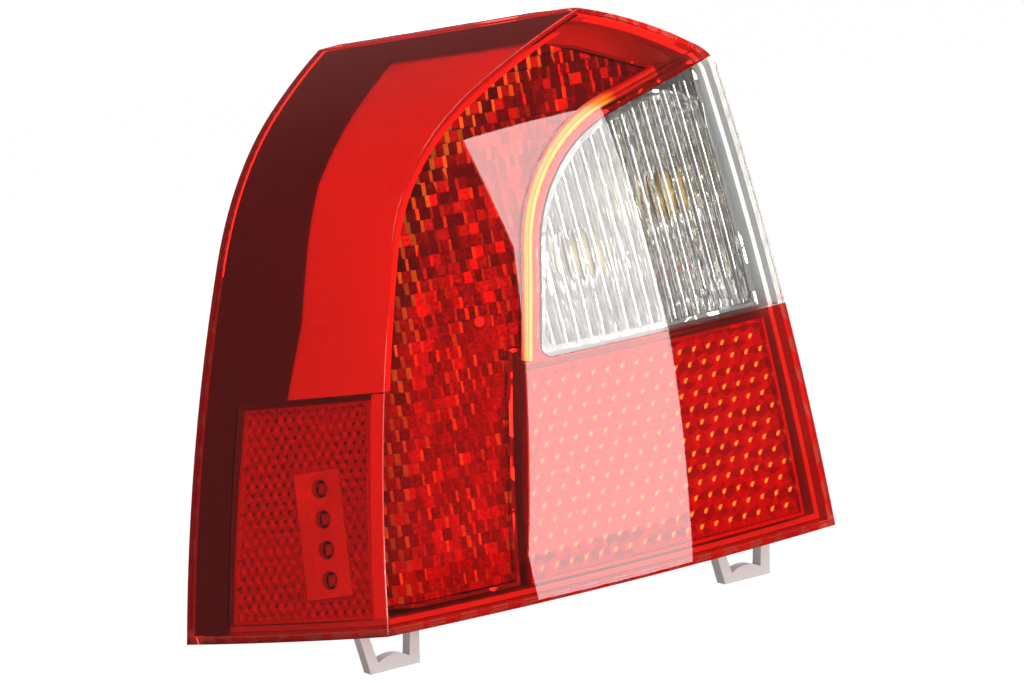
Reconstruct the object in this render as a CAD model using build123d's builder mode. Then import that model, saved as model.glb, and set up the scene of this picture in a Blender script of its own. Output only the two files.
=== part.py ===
"""Left rear tail light cluster: lens, optics, lamps, housing and fixings. Millimetres, +Z up.

The origin is midway between the two mounting studs on the seat face. +X runs inboard along the rear
face, +Y runs forward into the body, and the lens looks towards -Y.
"""

import os
from math import asin, cos, degrees, radians, sin, sqrt, tan

from build123d import *

os.makedirs("parts", exist_ok=True)

# Overall size of the lens, measured from the lower corner where the rear and side faces meet
lens_width = 237
lens_height = 262
side_length = 111
face_angle = 125

# Fixing: two studs in a vertical line, and the depth of the seat face behind the lower corner
stud_x = 108
stud_low = 25
stud_high = 175
seat_depth = 92
stud_r = 3
stud_reach = 24
stud_collar_r = 4.5
stud_head_r = 7
stud_head = 3

# Rear face: crowned in plan, leaning forward more and more towards the top
rear_crown_radius = 684
rear_lean = 3.4
rear_lean_radius = 950

# Side face: crowned in plan, with three tangent arcs from the bottom edge to the roof shoulder
side_crown_radius = 600
side_crown_mid = 50
side_lean = (6.7, 22.7, 57.4)
side_lean_end = 80
side_radius = (637, 137.6, 338)

# Rim of the lens in the rear view and the lean of its front edge in the side view
apex_x = 165
roof_drop = 0.029
shoulder = (232.6, 229)
shoulder_round = 17
crest_radius = 210
front_lean = 7.6
crease_round = 2

# Walls and general clearances
lens_wall = 3
lens_foot = 16
seal_height = 1
housing_wall = 2.5
tongue = 6
fit_gap = 0.3
seat_gap = 0.2
body_depth = 82
side_room = 44
wing_reach = 168

# Clear window in the rear view, and the hidden lip that bonds it behind the red lens
window_left = 98.5
window_bottom = 108
window_top = (166, 211.3)
window_lean = 15
window_round = 77
window_corner = 5
lip_width = 9.5
lip_wall = 2
seam_gap = 0.1
flute_pitch = 6.5
flute_depth = 1.4
flute_margin = 4
flute_right = 219

# Brick optic over the stop and tail lamps
optic_depth = 9
optic_wall = 3
optic_bottom = 9.2
optic_divide = ((67.4, 9.2), (74.5, 57), (87, 113))
optic_left = ((4, 9.2), (18, 86), (42.5, 164), (57.5, 193), (81, 216), (110.5, 235), (144, 250.8))
optic_right = (206, 225)
optic_lip_lap = 5
column_width = 12
column_turn = 42
brick_width = 5.3
brick_height = 5.3
brick_relief = 0.8
brick_face = 0.72
insert_rim = 1.5
chamber_wall = 1.6
chamber_inset = 15

# Reflex inserts
rear_reflex_left = ((72, 8.5), (80.5, 56), (93, 103.5))
rear_reflex_right = 221
rear_reflex_pitch = 7.9
side_reflex_corners = ((7, 8), (83.5, 8), (71, 104), (4.5, 104))
side_reflex_pitch = 4.9
reflex_wall = 2
reflex_relief = 0.32

# Side marker with its light emitting diodes
marker_centre = (32.5, 47.5)
marker_lean = 4
marker_size = (24, 58)
marker_slot = (11.6, 54)
marker_pitch = 14
marker_count = 4
marker_hole_r = 4.3
board_wall = 1.6

# Dark bezel and plain panel behind the side face
bezel_depth = 3.8
bezel_wall = 1.6
bezel_frame = 5
bezel_lap = 3
panel_wall = 1.6
panel_divide = ((49, 107), (41.5, 140), (39, 200), (28.5, 248.5))
side_clear = 6

# Lamps: positions in the rear view, glass bulb and bayonet base
lamp_spots = {"stop": (68, 150), "tail": (44, 62), "turn": (192, 166), "reverse": (142, 146)}
bulb_r = 12.5
bulb_length = 32
bulb_neck_r = 6.5
bulb_neck = 5
base_r = 7.5
base_length = 14
base_lip = 3
bowl_focus = 20
bowl_depth = 72
bowl_wall = 2
bowl_hole_r = 12
collar_height = 3
holder_r = 17
holder_nose_r = 10.5
holder_nose = 6
holder_flange_r = 20.5
holder_flange = 4
holder_grip_r = 14
holder_grip = 5
lug_count = 3
lug_size = (3, 7)
lug_height = 2.5
seal_wall = 1.5
shroud_size = (20, 14)
shroud_length = 14
shroud_wall = 1.8
terminal_size = (0.8, 5)
terminal_pitch = 7
terminal_root = 5
pin_width = 1.6
signal_grow = 1.5

# Moulded clips below the housing
clip_spots = (16, 205)
clip_depth = (36, 44)
clip_top = 32
clip_foot = 25
clip_drop = 23
clip_leg = 4.5
clip_arch = 2.5

# Small fittings on the back of the housing
vent_spot = (206, 60)
vent_r = 4
vent_length = 9
vent_cap_r = 7.5
plug_spot = (156, 58)
boss_r = 8
foam_r = 16
rivet_spot = (75.8, 129.3)
rivet_r = 1.6
rivet_head_r = 2.5
rivet_post_r = 3.4
screw_r = 1.2
screw_head_r = 2.4
screw_head = 1.6
rib_width = 2.4
rib_height = 5

corner = Vector(-stud_x, -seat_depth, -(stud_low + stud_high) / 2)
side_dir = Vector(cos(radians(face_angle)), sin(radians(face_angle)), 0)
side_in = Vector(sin(radians(face_angle)), -cos(radians(face_angle)), 0)
rear_view = Plane(origin=corner, x_dir=(1, 0, 0), z_dir=(0, -1, 0))
side_view = Plane(origin=corner, x_dir=side_dir, z_dir=side_in)

# Reach of the helper solids beyond the lens
margin = 30
rear_reach = 210
rear_spread = 26
side_reach = 300
side_spread = 32


def crown(radius, offset):
    """Depth of a circular crown at an offset from its middle."""
    return radius - sqrt(radius**2 - offset**2)


def section_plane(foot, heading):
    """Upright plane through an axis foot, facing a compass heading in degrees."""
    out = Vector(cos(radians(heading)), sin(radians(heading)), 0)
    return Plane(origin=foot, x_dir=out, z_dir=out.cross(Vector(0, 0, 1)))


def rear_depth(x, z, inset=0):
    """Depth of the rear face, set in by inset, behind the lower corner at a rear view point."""
    radius = rear_lean_radius - inset
    centre_y = rear_lean_radius * cos(radians(rear_lean))
    centre_z = -rear_lean_radius * sin(radians(rear_lean))
    profile = centre_y - sqrt(radius**2 - (z - centre_z) ** 2)
    middle = lens_width / 2
    return profile - crown(rear_crown_radius, middle) + crown(rear_crown_radius - profile, x - middle)


def rear_body(inset):
    """Everything inside the rear face set in by inset."""
    middle = lens_width / 2
    foot = corner + Vector(middle, rear_crown_radius - crown(rear_crown_radius, middle), 0)
    radius = rear_lean_radius - inset
    centre = Vector(
        rear_crown_radius - rear_lean_radius * cos(radians(rear_lean)),
        -rear_lean_radius * sin(radians(rear_lean)),
    )
    low = degrees(asin((-margin - centre.Y) / radius))
    high = degrees(asin((lens_height + margin - centre.Y) / radius))
    inner = rear_crown_radius - rear_reach
    with BuildPart() as body:
        with BuildSketch(section_plane(foot, -90 - rear_spread)):
            with BuildLine():
                face = CenterArc((centre.X, centre.Y), radius, low, high - low)
                Polyline(face @ 1, (inner, (face @ 1).Y), (inner, (face @ 0).Y), face @ 0)
            make_face()
        revolve(axis=Axis(foot, (0, 0, 1)), revolution_arc=2 * rear_spread)
    return body.part


def side_body(inset):
    """Everything inside the side face set in by inset."""
    sink = side_crown_radius - crown(side_crown_radius, side_crown_mid)
    foot = corner + side_dir * side_crown_mid + side_in * sink
    lean = [radians(angle) for angle in side_lean]
    low_r, mid_r, top_r = side_radius
    low_c = Vector(side_crown_radius - low_r * cos(lean[0]), -low_r * sin(lean[0]))
    mid_c = low_c + Vector(cos(lean[1]), sin(lean[1])) * (low_r - mid_r)
    top_c = mid_c + Vector(cos(lean[2]), sin(lean[2])) * (mid_r - top_r)
    start = degrees(asin((-margin - low_c.Y) / (low_r - inset)))
    inner = side_crown_radius - side_reach
    with BuildPart() as body:
        with BuildSketch(section_plane(foot, face_angle + 90 - side_spread)):
            with BuildLine():
                low = CenterArc((low_c.X, low_c.Y), low_r - inset, start, side_lean[1] - start)
                CenterArc((mid_c.X, mid_c.Y), mid_r - inset, side_lean[1], side_lean[2] - side_lean[1])
                top = CenterArc((top_c.X, top_c.Y), top_r - inset, side_lean[2], side_lean_end - side_lean[2])
                Polyline(top @ 1, (inner, (top @ 1).Y), (inner, (low @ 0).Y), low @ 0)
            make_face()
        revolve(axis=Axis(foot, (0, 0, 1)), revolution_arc=2 * side_spread)
    return body.part


def rim_outline(edge):
    """Rear view outline of the lens rim, set in by edge."""
    left = -150
    with BuildSketch() as outline:
        with BuildLine():
            Polyline(
                (apex_x, lens_height),
                (left, lens_height - (apex_x - left) * roof_drop),
                (left, 0),
                (lens_width, 0),
                shoulder,
            )
            RadiusArc(shoulder, (apex_x, lens_height), -crest_radius)
        make_face()
        fillet(outline.vertices().sort_by_distance(shoulder)[0], shoulder_round)
        if edge:
            offset(amount=-edge, mode=Mode.REPLACE)
    return outline.sketch


def window_outline(left, top, bottom, right=260):
    """Rear view outline of the clear window, grown by left, top and bottom."""
    slope = tan(radians(window_lean))
    floor = window_bottom - bottom
    edge_x = window_left - left
    top_z = window_top[1] + top
    peak_x = (edge_x + (top_z - window_top[0] * slope - window_bottom) * slope) / (1 - slope**2)
    peak = (peak_x, top_z + (peak_x - window_top[0]) * slope)
    base = (edge_x + (floor - window_bottom) * slope, floor)
    with BuildSketch() as outline:
        with BuildLine():
            Polyline(base, peak, (right, top_z + (right - window_top[0]) * slope), (right, floor), close=True)
        make_face()
        fillet(outline.vertices().sort_by_distance(peak)[0], window_round)
        fillet(outline.vertices().sort_by_distance(base)[0], window_corner)
    return outline.sketch


def optic_outline(shrink):
    """Rear view outline of the brick optic, set in by shrink."""
    below = 10
    with BuildSketch() as outline:
        with BuildLine():
            ThreePointArc(*optic_divide)
            for start in (0, 2, 4):
                ThreePointArc(*optic_left[start : start + 3])
            Line(optic_left[0], optic_divide[0])
            Polyline(optic_divide[2], (optic_right[0], optic_divide[2][1]), optic_right, optic_left[-1])
        make_face()
        add(window_outline(lip_width - optic_lip_lap, lip_width - 3, below), mode=Mode.SUBTRACT)
        if shrink:
            offset(amount=-shrink, mode=Mode.REPLACE)
    return outline.sketch


def polygon_outline(points, shrink=0):
    """Straight sided outline, set in by shrink."""
    with BuildSketch() as outline:
        with BuildLine():
            Polyline(*points, close=True)
        make_face()
        if shrink:
            offset(amount=-shrink, kind=Kind.INTERSECTION, mode=Mode.REPLACE)
    return outline.sketch


def rear_reflex_outline(shrink):
    """Rear view outline of the rear reflex insert, set in by shrink."""
    with BuildSketch() as outline:
        with BuildLine():
            ThreePointArc(*rear_reflex_left)
            Polyline(
                rear_reflex_left[2],
                (rear_reflex_right, rear_reflex_left[2][1]),
                (rear_reflex_right, rear_reflex_left[0][1]),
                rear_reflex_left[0],
            )
        make_face()
        if shrink:
            offset(amount=-shrink, kind=Kind.INTERSECTION, mode=Mode.REPLACE)
    return outline.sketch


def rear_prism(outline, near, far):
    """Rear view outline carried forward from depth near to depth far."""
    with BuildPart() as solid:
        with BuildSketch(rear_view.offset(-near)):
            add(outline)
        extrude(amount=near - far)
    return solid.part


def side_prism(outline, near, far):
    """Side view outline carried inwards from depth near to depth far."""
    with BuildPart() as solid:
        with BuildSketch(side_view.offset(near)):
            add(outline)
        extrude(amount=far - near)
    return solid.part


def block(rear, side, edge):
    """Solid inside the rear face, the side face and the rim, each set in by its own amount."""
    slope = tan(radians(front_lean))
    low = -2 * margin
    high = lens_height + 2 * margin
    front = polygon_outline(
        (
            (-side_reach, low),
            (side_length - edge - low * slope, low),
            (side_length - edge - high * slope, high),
            (-side_reach, high),
        )
    )
    with BuildPart() as solid:
        add(rear_body(rear))
        add(side_body(side), mode=Mode.INTERSECT)
        add(side_prism(front, -margin, side_reach), mode=Mode.INTERSECT)
        add(rear_prism(rim_outline(edge), -margin, rear_reach + margin), mode=Mode.INTERSECT)
    return solid.part


def spot(view, x, z, depth):
    """Point of a view at a depth from its plane into the lamp."""
    inward = depth if view is side_view else -depth
    return view.from_local_coords(Vector(x, z, inward))


def spot_plane(x, z, depth):
    """Plane at a rear view point facing forward, with its own y pointing up."""
    return Plane(origin=spot(rear_view, x, z, depth), x_dir=(-1, 0, 0), z_dir=(0, 1, 0))


def on_crease(edge):
    """True for an edge that runs up the corner between the rear and side faces."""
    middle = rear_view.to_local_coords(edge @ 0.5)
    on_rear = abs(rear_depth(middle.X, middle.Y) + middle.Z) < 0.01
    return on_rear and middle.Y > 1 and middle.X < apex_x


# Red lens and clear window, cut from one curved shell with a foot all round
with BuildPart() as lens_shell:
    add(block(0, 0, 0))
    crease = lens_shell.edges().filter_by(on_crease)
    fillet(crease, crease_round)
    add(block(lens_wall, lens_wall, lens_wall), mode=Mode.SUBTRACT)
    add(block(lens_foot, lens_foot, -margin), mode=Mode.SUBTRACT)

with BuildPart() as red_lens:
    add(lens_shell.part)
    add(rear_prism(window_outline(0, 0, 0), -margin, 2 * margin), mode=Mode.SUBTRACT)
red_lens.part.label = "red_lens"
export_step(red_lens.part, "parts/red_lens.step")

# Clear window with a hidden lip behind the red lens and upright flutes on its inner face
lip_near = lens_wall + seam_gap
window_back = lip_near + lip_wall
flute_count = int((flute_right - window_left) / flute_pitch)
flute_x = [flute_right - flute_pitch * (i + 0.5) for i in range(flute_count)]
flute_r = (flute_depth**2 + (flute_pitch / 2) ** 2) / (2 * flute_depth)
flute_low = window_bottom + flute_margin
flute_high = 220
flute_mid = (flute_x[0] + flute_x[-1]) / 2
flute_head = Vector(flute_mid, rear_depth(flute_mid, flute_high, window_back), flute_high)
flute_arc = rear_lean_radius - window_back
pivot_z = -rear_lean_radius * sin(radians(rear_lean))
flute_pivot = Vector(flute_mid, rear_depth(flute_mid, pivot_z, window_back) + flute_arc, pivot_z)
flute_rise = Vector(1, 0, 0).cross(flute_pivot - flute_head)
flute_sweep = degrees(asin((flute_high - pivot_z) / flute_arc) - asin((flute_low - pivot_z) / flute_arc))
with BuildPart() as flutes:
    with BuildSketch(Plane(origin=corner + flute_head, x_dir=(1, 0, 0), z_dir=flute_rise)):
        for x in flute_x:
            sink = rear_depth(x, flute_high, window_back) - flute_head.Y
            with Locations((x - flute_mid, sink + flute_r - flute_depth)):
                Circle(flute_r)
    revolve(axis=Axis(corner + flute_pivot, (1, 0, 0)), revolution_arc=flute_sweep)
    flute_field = window_outline(-flute_margin, -flute_margin, -flute_margin)
    add(rear_prism(flute_field, -margin, 3 * margin), mode=Mode.INTERSECT)

with BuildPart() as lip:
    add(block(lip_near, lip_near, lens_wall + seam_gap))
    add(block(window_back, window_back, lens_wall), mode=Mode.SUBTRACT)
    add(rear_prism(window_outline(lip_width, lip_width - 4, 1.5), -margin, 2 * margin), mode=Mode.INTERSECT)

with BuildPart() as clear_lens:
    add(block(0, 0, 0))
    add(block(window_back, window_back, lens_wall), mode=Mode.SUBTRACT)
    add(block(lens_foot, lens_foot, -margin), mode=Mode.SUBTRACT)
    add(rear_prism(window_outline(-seam_gap, -seam_gap, -seam_gap), -margin, 2 * margin), mode=Mode.INTERSECT)
    add(lip.part)
    add(flutes.part, mode=Mode.SUBTRACT)
clear_lens.part.label = "clear_lens"
export_step(clear_lens.part, "parts/clear_lens.step")


# Brick optic: rows of small prisms that step back with the lens, turned outwards along the corner
def left_edge(z):
    """Left edge of the optic at a height, and how fast it runs inboard with height."""
    for low, high in zip(optic_left, optic_left[1:]):
        if z < high[1] or high is optic_left[-1]:
            run = (high[0] - low[0]) / (high[1] - low[1])
            return low[0] + (z - low[1]) * run, run


def brick_row(row, outline):
    """One row of bricks, wide enough to fill the outline at its height."""
    floor = optic_bottom + (row - 1) * brick_height
    middle = floor + brick_height / 2
    edge_x, run = left_edge(middle)
    with BuildSketch() as strip:
        with Locations((0, floor - brick_height)):
            Rectangle(2 * lens_width, 3 * brick_height, align=(Align.CENTER, Align.MIN))
        add(outline, mode=Mode.INTERSECT)
    reach = strip.sketch.bounding_box()
    fold_x = min(edge_x + column_width * sqrt(1 + run**2), reach.max.X)
    turn = tan(radians(column_turn)) / sqrt(1 + run**2)

    def base(x):
        return rear_depth(max(x, fold_x), middle, optic_depth) + max(fold_x - x, 0) * turn

    phase = brick_width * (row % 2) / 2
    first = int((reach.min.X - fold_x - phase) / brick_width) - 2
    last = int((reach.max.X - fold_x - phase) / brick_width) + 2
    front = []
    for column in range(first, last):
        x = fold_x + phase + column * brick_width
        step_x = x + brick_face * brick_width
        tilt = brick_relief * sin(2.4 * row + 4.1 * column + 0.7 * row * column)
        front.append((x, base(x) + tilt))
        front.append((step_x, base(step_x) - tilt))
    left_x = front[0][0]
    right_x = front[-1][0]
    back = [(right_x, base(right_x) + optic_wall)]
    if fold_x < right_x:
        back.append((fold_x, base(fold_x) + optic_wall))
    back.append((left_x, base(left_x) + optic_wall / cos(radians(column_turn))))
    with BuildPart() as bricks:
        with BuildSketch(Plane(origin=corner + Vector(0, 0, floor), x_dir=(1, 0, 0), z_dir=(0, 0, 1))):
            with BuildLine():
                Polyline(*front, *back, close=True)
            make_face()
        extrude(amount=brick_height)
    return bricks.part


optic_shape = optic_outline(chamber_wall + fit_gap)
optic_rows = int((optic_left[-1][1] - optic_bottom) / brick_height) + 2
optic_bricks = [brick_row(row, optic_shape) for row in range(optic_rows)]
with BuildPart() as brick_optic:
    add(optic_bricks, clean=False)
    add(rear_prism(optic_shape, -margin, 4 * margin), mode=Mode.INTERSECT, clean=False)
    with BuildSketch(spot_plane(*rivet_spot, 0)):
        Circle(rivet_r + seat_gap)
    extrude(amount=3 * margin, mode=Mode.SUBTRACT, clean=False)
brick_optic.part.label = "brick_optic"
export_step(brick_optic.part, "parts/brick_optic.step")

# Rivet that pins the brick optic to the reflector behind it
rivet_depth = rear_depth(*rivet_spot, optic_depth) - brick_relief - seat_gap
rivet_shank = 11
with BuildPart() as optic_rivet:
    with BuildSketch(spot_plane(*rivet_spot, rivet_depth)):
        Circle(rivet_r)
    extrude(amount=rivet_shank)
    with BuildSketch(spot_plane(*rivet_spot, rivet_depth)):
        Circle(rivet_head_r)
    extrude(amount=-1)
    fillet(optic_rivet.faces().sort_by(Axis.Y)[0].edges(), 0.5)
optic_rivet.part.label = "optic_rivet"
export_step(optic_rivet.part, "parts/optic_rivet.step")


# Reflex inserts: hexagonal fields of cube corners, each with a rim that meets the lens
def cube_corners(plane, width, height, pitch, wall):
    """Plate in a plane whose face is a close packed field of cube corners."""
    ring = pitch / sqrt(3)
    rise = reflex_relief * ring
    rows = int(height / (pitch * sqrt(3) / 2)) + 2
    columns = int(width / pitch) + 2
    spots = {}

    def point(x, y, level):
        return spots.setdefault((round(x, 2), round(y, 2)), (x, y, level))

    quads = []
    for row in range(rows):
        for column in range(columns):
            x = (column - columns / 2 + 0.5 * (row % 2)) * pitch
            y = (row - rows / 2) * pitch * sqrt(3) / 2
            tips = []
            for k in range(6):
                angle = radians(30 + 60 * k)
                tips.append(point(x + ring * cos(angle), y + ring * sin(angle), rise * (1 + k % 2)))
            for k in (0, 2, 4):
                quads.append((point(x, y, 0), tips[k], tips[k + 1], tips[(k + 2) % 6]))
    sides = {(quad[k], quad[(k + 1) % 4]) for quad in quads for k in range(4)}
    follow = {start: end for start, end in sides if (end, start) not in sides}
    loop = [min(follow)]
    while follow[loop[-1]] != loop[0]:
        loop.append(follow[loop[-1]])
    floor = [(x, y, -wall) for x, y, level in loop]
    skirts = []
    for k in range(len(loop)):
        after = (k + 1) % len(loop)
        skirts.append((loop[after], loop[k], floor[k], floor[after]))
    faces = [Face(Wire.make_polygon(quad)) for quad in quads + skirts + [tuple(reversed(floor))]]
    return plane * Solid(Shell(faces))


def chord_plane(near, far, inward):
    """Plane through the middle of four surface points, facing outwards and moved in by inward."""
    right = far[0] - near[0]
    up = far[1] - near[1]
    middle = (near[0] + near[1] + far[0] + far[1]) / 4
    normal = right.cross(up).normalized()
    return Plane(origin=middle - normal * inward, x_dir=right, z_dir=normal)


def rear_point(x, z):
    """Point of the rear face at a rear view point."""
    return corner + Vector(x, rear_depth(x, z), z)


def side_depth(t, z):
    """Depth of the side face behind the lower corner, on its lowest arc."""
    radius = side_radius[0]
    lean = radians(side_lean[0])
    profile = radius * cos(lean) - sqrt(radius**2 - (z + radius * sin(lean)) ** 2)
    sink = crown(side_crown_radius, side_crown_mid)
    return profile - sink + crown(side_crown_radius - profile, t - side_crown_mid)


def side_point(t, z):
    """Point of the side face at a side view point."""
    return corner + side_dir * t + side_in * side_depth(t, z) + Vector(0, 0, z)


def insert_wall(prism, inside, body, plane):
    """Rim of an insert: the wall between two prisms, from the lens back to the insert's plane."""
    with BuildPart() as ring:
        add(prism)
        add(inside, mode=Mode.SUBTRACT)
        add(body, mode=Mode.INTERSECT)
        split(bisect_by=plane, keep=Keep.TOP)
    return ring.part


reflex_left = rear_reflex_left[1][0]
reflex_low, reflex_mid, reflex_high = (point[1] for point in rear_reflex_left)
reflex_x = (reflex_left + rear_reflex_right) / 2
reflex_sag = crown(rear_crown_radius, (rear_reflex_right - reflex_left) / 2)
rear_rise = 2 * reflex_relief * rear_reflex_pitch / sqrt(3)
rear_reflex_plane = chord_plane(
    (rear_point(reflex_left, reflex_mid), rear_point(reflex_x, reflex_low)),
    (rear_point(rear_reflex_right, reflex_mid), rear_point(reflex_x, reflex_high)),
    lens_wall + reflex_sag / 2 + 4 * fit_gap + rear_rise,
)
rear_reflex_wall = insert_wall(
    rear_prism(rear_reflex_outline(0), -margin, 2 * margin),
    rear_prism(rear_reflex_outline(insert_rim), -2 * margin, 3 * margin),
    rear_body(lens_wall + seat_gap),
    rear_reflex_plane.offset(-reflex_wall),
)
with BuildPart() as rear_reflex:
    add(cube_corners(rear_reflex_plane, 172, 110, rear_reflex_pitch, reflex_wall))
    reflex_edge = rear_reflex_outline(insert_rim / 2)
    add(rear_prism(reflex_edge, -margin, 2 * margin), mode=Mode.INTERSECT, clean=False)
    add(rear_reflex_wall, clean=False)
rear_reflex.part.label = "rear_reflex"
export_step(rear_reflex.part, "parts/rear_reflex.step")

# Side reflex insert, open in the middle for the side marker
side_mid = tuple(sum(point[k] for point in side_reflex_corners) / 4 for k in (0, 1))
side_rise = 2 * reflex_relief * side_reflex_pitch / sqrt(3)
side_reflex_plane = chord_plane(
    (side_point(side_reflex_corners[1][0], side_mid[1]), side_point(side_mid[0], side_reflex_corners[0][1])),
    (side_point(side_reflex_corners[0][0], side_mid[1]), side_point(side_mid[0], side_reflex_corners[2][1])),
    lens_wall + 1.6 + side_rise,
)
marker_shift = side_reflex_plane.to_local_coords(side_point(*marker_centre))
marker_plane = Plane(
    origin=side_reflex_plane.from_local_coords(Vector(marker_shift.X, marker_shift.Y, 0)),
    x_dir=side_reflex_plane.x_dir.rotate(Axis((0, 0, 0), side_reflex_plane.z_dir), marker_lean),
    z_dir=side_reflex_plane.z_dir,
)
side_reflex_wall = insert_wall(
    side_prism(polygon_outline(side_reflex_corners), -margin, 3 * margin),
    side_prism(polygon_outline(side_reflex_corners, insert_rim), -2 * margin, 4 * margin),
    side_body(lens_wall + seat_gap),
    side_reflex_plane.offset(-reflex_wall),
)
with BuildPart() as side_reflex:
    add(cube_corners(side_reflex_plane, 88, 110, side_reflex_pitch, reflex_wall))
    add(
        side_prism(polygon_outline(side_reflex_corners, insert_rim / 2), -margin, 3 * margin),
        mode=Mode.INTERSECT,
        clean=False,
    )
    with BuildSketch(marker_plane.offset(-margin)):
        Rectangle(*(size + 2 * fit_gap for size in marker_size))
    extrude(amount=2 * margin, mode=Mode.SUBTRACT, clean=False)
    add(side_reflex_wall, clean=False)
side_reflex.part.label = "side_reflex"
export_step(side_reflex.part, "parts/side_reflex.step")

# Side marker: bezel with a sunk slot and round windows, circuit board, diodes and screws
marker_front = side_rise
marker_flange = 3
marker_back = -reflex_wall - seat_gap - bezel_wall
marker_spots = [(0, (k - (marker_count - 1) / 2) * marker_pitch) for k in range(marker_count)]
board_front = marker_back - seat_gap
board_screw_spots = [(9, 25), (-9, -25)]
with BuildPart() as marker_bezel:
    with BuildSketch(marker_plane.offset(marker_back)):
        Rectangle(*marker_size)
    extrude(amount=marker_front - marker_back)
    with BuildSketch(marker_plane.offset(marker_back)):
        Rectangle(*(size + 2 * marker_flange for size in marker_size))
    extrude(amount=bezel_wall)
    with BuildSketch(marker_plane.offset(marker_front)):
        SlotOverall(marker_slot[1], marker_slot[0], rotation=90)
    extrude(amount=-bezel_wall, mode=Mode.SUBTRACT)
    with BuildSketch(marker_plane.offset(marker_back)):
        with Locations(*marker_spots):
            Circle(marker_hole_r)
    extrude(amount=marker_front - marker_back, mode=Mode.SUBTRACT)
    with BuildSketch(marker_plane.offset(marker_back)):
        with Locations(*board_screw_spots):
            Circle(screw_r)
    extrude(amount=bezel_wall, mode=Mode.SUBTRACT)
marker_bezel.part.label = "marker_bezel"
export_step(marker_bezel.part, "parts/marker_bezel.step")

with BuildPart() as marker_board:
    with BuildSketch(marker_plane.offset(board_front)):
        Rectangle(*marker_size)
        with Locations(*board_screw_spots):
            Circle(screw_r + seat_gap / 2, mode=Mode.SUBTRACT)
    extrude(amount=-board_wall)
marker_board.part.label = "marker_board"
export_step(marker_board.part, "parts/marker_board.step")

with BuildPart() as marker_diodes:
    with BuildSketch(marker_plane.offset(board_front)):
        with Locations(*marker_spots):
            RectangleRounded(5, 5, 0.6)
    extrude(amount=1.2)
    with BuildSketch(marker_plane.offset(board_front + 1.2)):
        with Locations(*marker_spots):
            Circle(2)
    extrude(amount=1.6)
    outward = Axis(marker_plane.origin, marker_plane.z_dir)
    fillet(marker_diodes.faces().group_by(outward)[-1].edges(), 1.2)
marker_diodes.part.label = "marker_diodes"
export_step(marker_diodes.part, "parts/marker_diodes.step")

with BuildPart() as board_screws:
    with BuildSketch(marker_plane.offset(board_front - board_wall)):
        with Locations(*board_screw_spots):
            Circle(screw_head_r)
    extrude(amount=-screw_head)
    with BuildSketch(marker_plane.offset(board_front - board_wall)):
        with Locations(*board_screw_spots):
            Circle(screw_r)
    extrude(amount=board_wall + seat_gap + bezel_wall)
board_screws.part.label = "board_screws"
export_step(board_screws.part, "parts/board_screws.step")


# Dark bezel along the front edge and roof of the side face, and the plain panel it frames
def side_sheet(near, wall):
    """Curved sheet behind the side face, kept clear of the rear face and the rim."""
    edge = lens_wall + fit_gap
    with BuildPart() as sheet:
        add(block(side_clear, near, edge))
        add(block(side_clear - 1, near + wall, edge - 1), mode=Mode.SUBTRACT)
    return sheet.part


bezel_far = side_length + margin
bezel_roof = (-side_length, panel_divide[-1][1])
bezel_shape = polygon_outline(
    (
        *panel_divide,
        bezel_roof,
        (-side_length, 2 * lens_height),
        (bezel_far, 2 * lens_height),
        (bezel_far, 0),
        (side_reflex_corners[1][0] + bezel_frame, 0),
        (side_reflex_corners[2][0] + bezel_frame, panel_divide[0][1]),
    )
)
with BuildPart() as dark_bezel:
    add(side_sheet(bezel_depth, bezel_wall))
    add(side_prism(bezel_shape, -margin, side_reach), mode=Mode.INTERSECT)
dark_bezel.part.label = "dark_bezel"
export_step(dark_bezel.part, "parts/dark_bezel.step")

panel_edge = [(t + bezel_lap, z) for t, z in panel_divide]
panel_peak = (panel_edge[-1][0], panel_edge[-1][1] + bezel_lap)
panel_shape = polygon_outline(
    (*panel_edge[:-1], panel_peak, (-side_length, panel_peak[1]), (-side_length, panel_divide[0][1]))
)
with BuildPart() as side_panel:
    add(side_sheet(bezel_depth + bezel_wall + seat_gap, panel_wall))
    add(side_prism(panel_shape, -margin, side_reach), mode=Mode.INTERSECT)
side_panel.part.label = "side_panel"
export_step(side_panel.part, "parts/side_panel.step")


# Reflectors: chamber walls that reach the lens, with a bowl round each lamp
def bowl(spots, vertex):
    """Union of the parabolic bowls round some lamps, with their vertices at a depth."""
    reach = 120
    drop = reach**2 / (4 * bowl_focus)
    with BuildPart() as bowls:
        for x, z in spots:
            with BuildSketch(Plane(origin=spot(rear_view, x, z, vertex), x_dir=(1, 0, 0), z_dir=(0, 0, 1))):
                with BuildLine():
                    Bezier((0, 0), (reach / 2, 0), (reach, -drop))
                    Polyline((reach, -drop), (0, -drop), (0, 0))
                make_face()
            revolve(axis=Axis(spot(rear_view, x, z, vertex), (0, 1, 0)))
    return bowls.part


def bowl_sheet(inside, spots, near):
    """Bowl wall across a chamber, behind depth near, with a hole for each lamp."""
    with BuildPart() as sheet:
        add(rear_prism(inside, -margin, body_depth))
        add(rear_body(near), mode=Mode.INTERSECT)
        add(bowl(spots, bowl_depth + bowl_wall), mode=Mode.INTERSECT)
        add(bowl(spots, bowl_depth), mode=Mode.SUBTRACT)
        for x, z in spots:
            with BuildSketch(spot_plane(x, z, 0)):
                Circle(bowl_hole_r)
            extrude(amount=2 * body_depth, mode=Mode.SUBTRACT)
    return sheet.part


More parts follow.
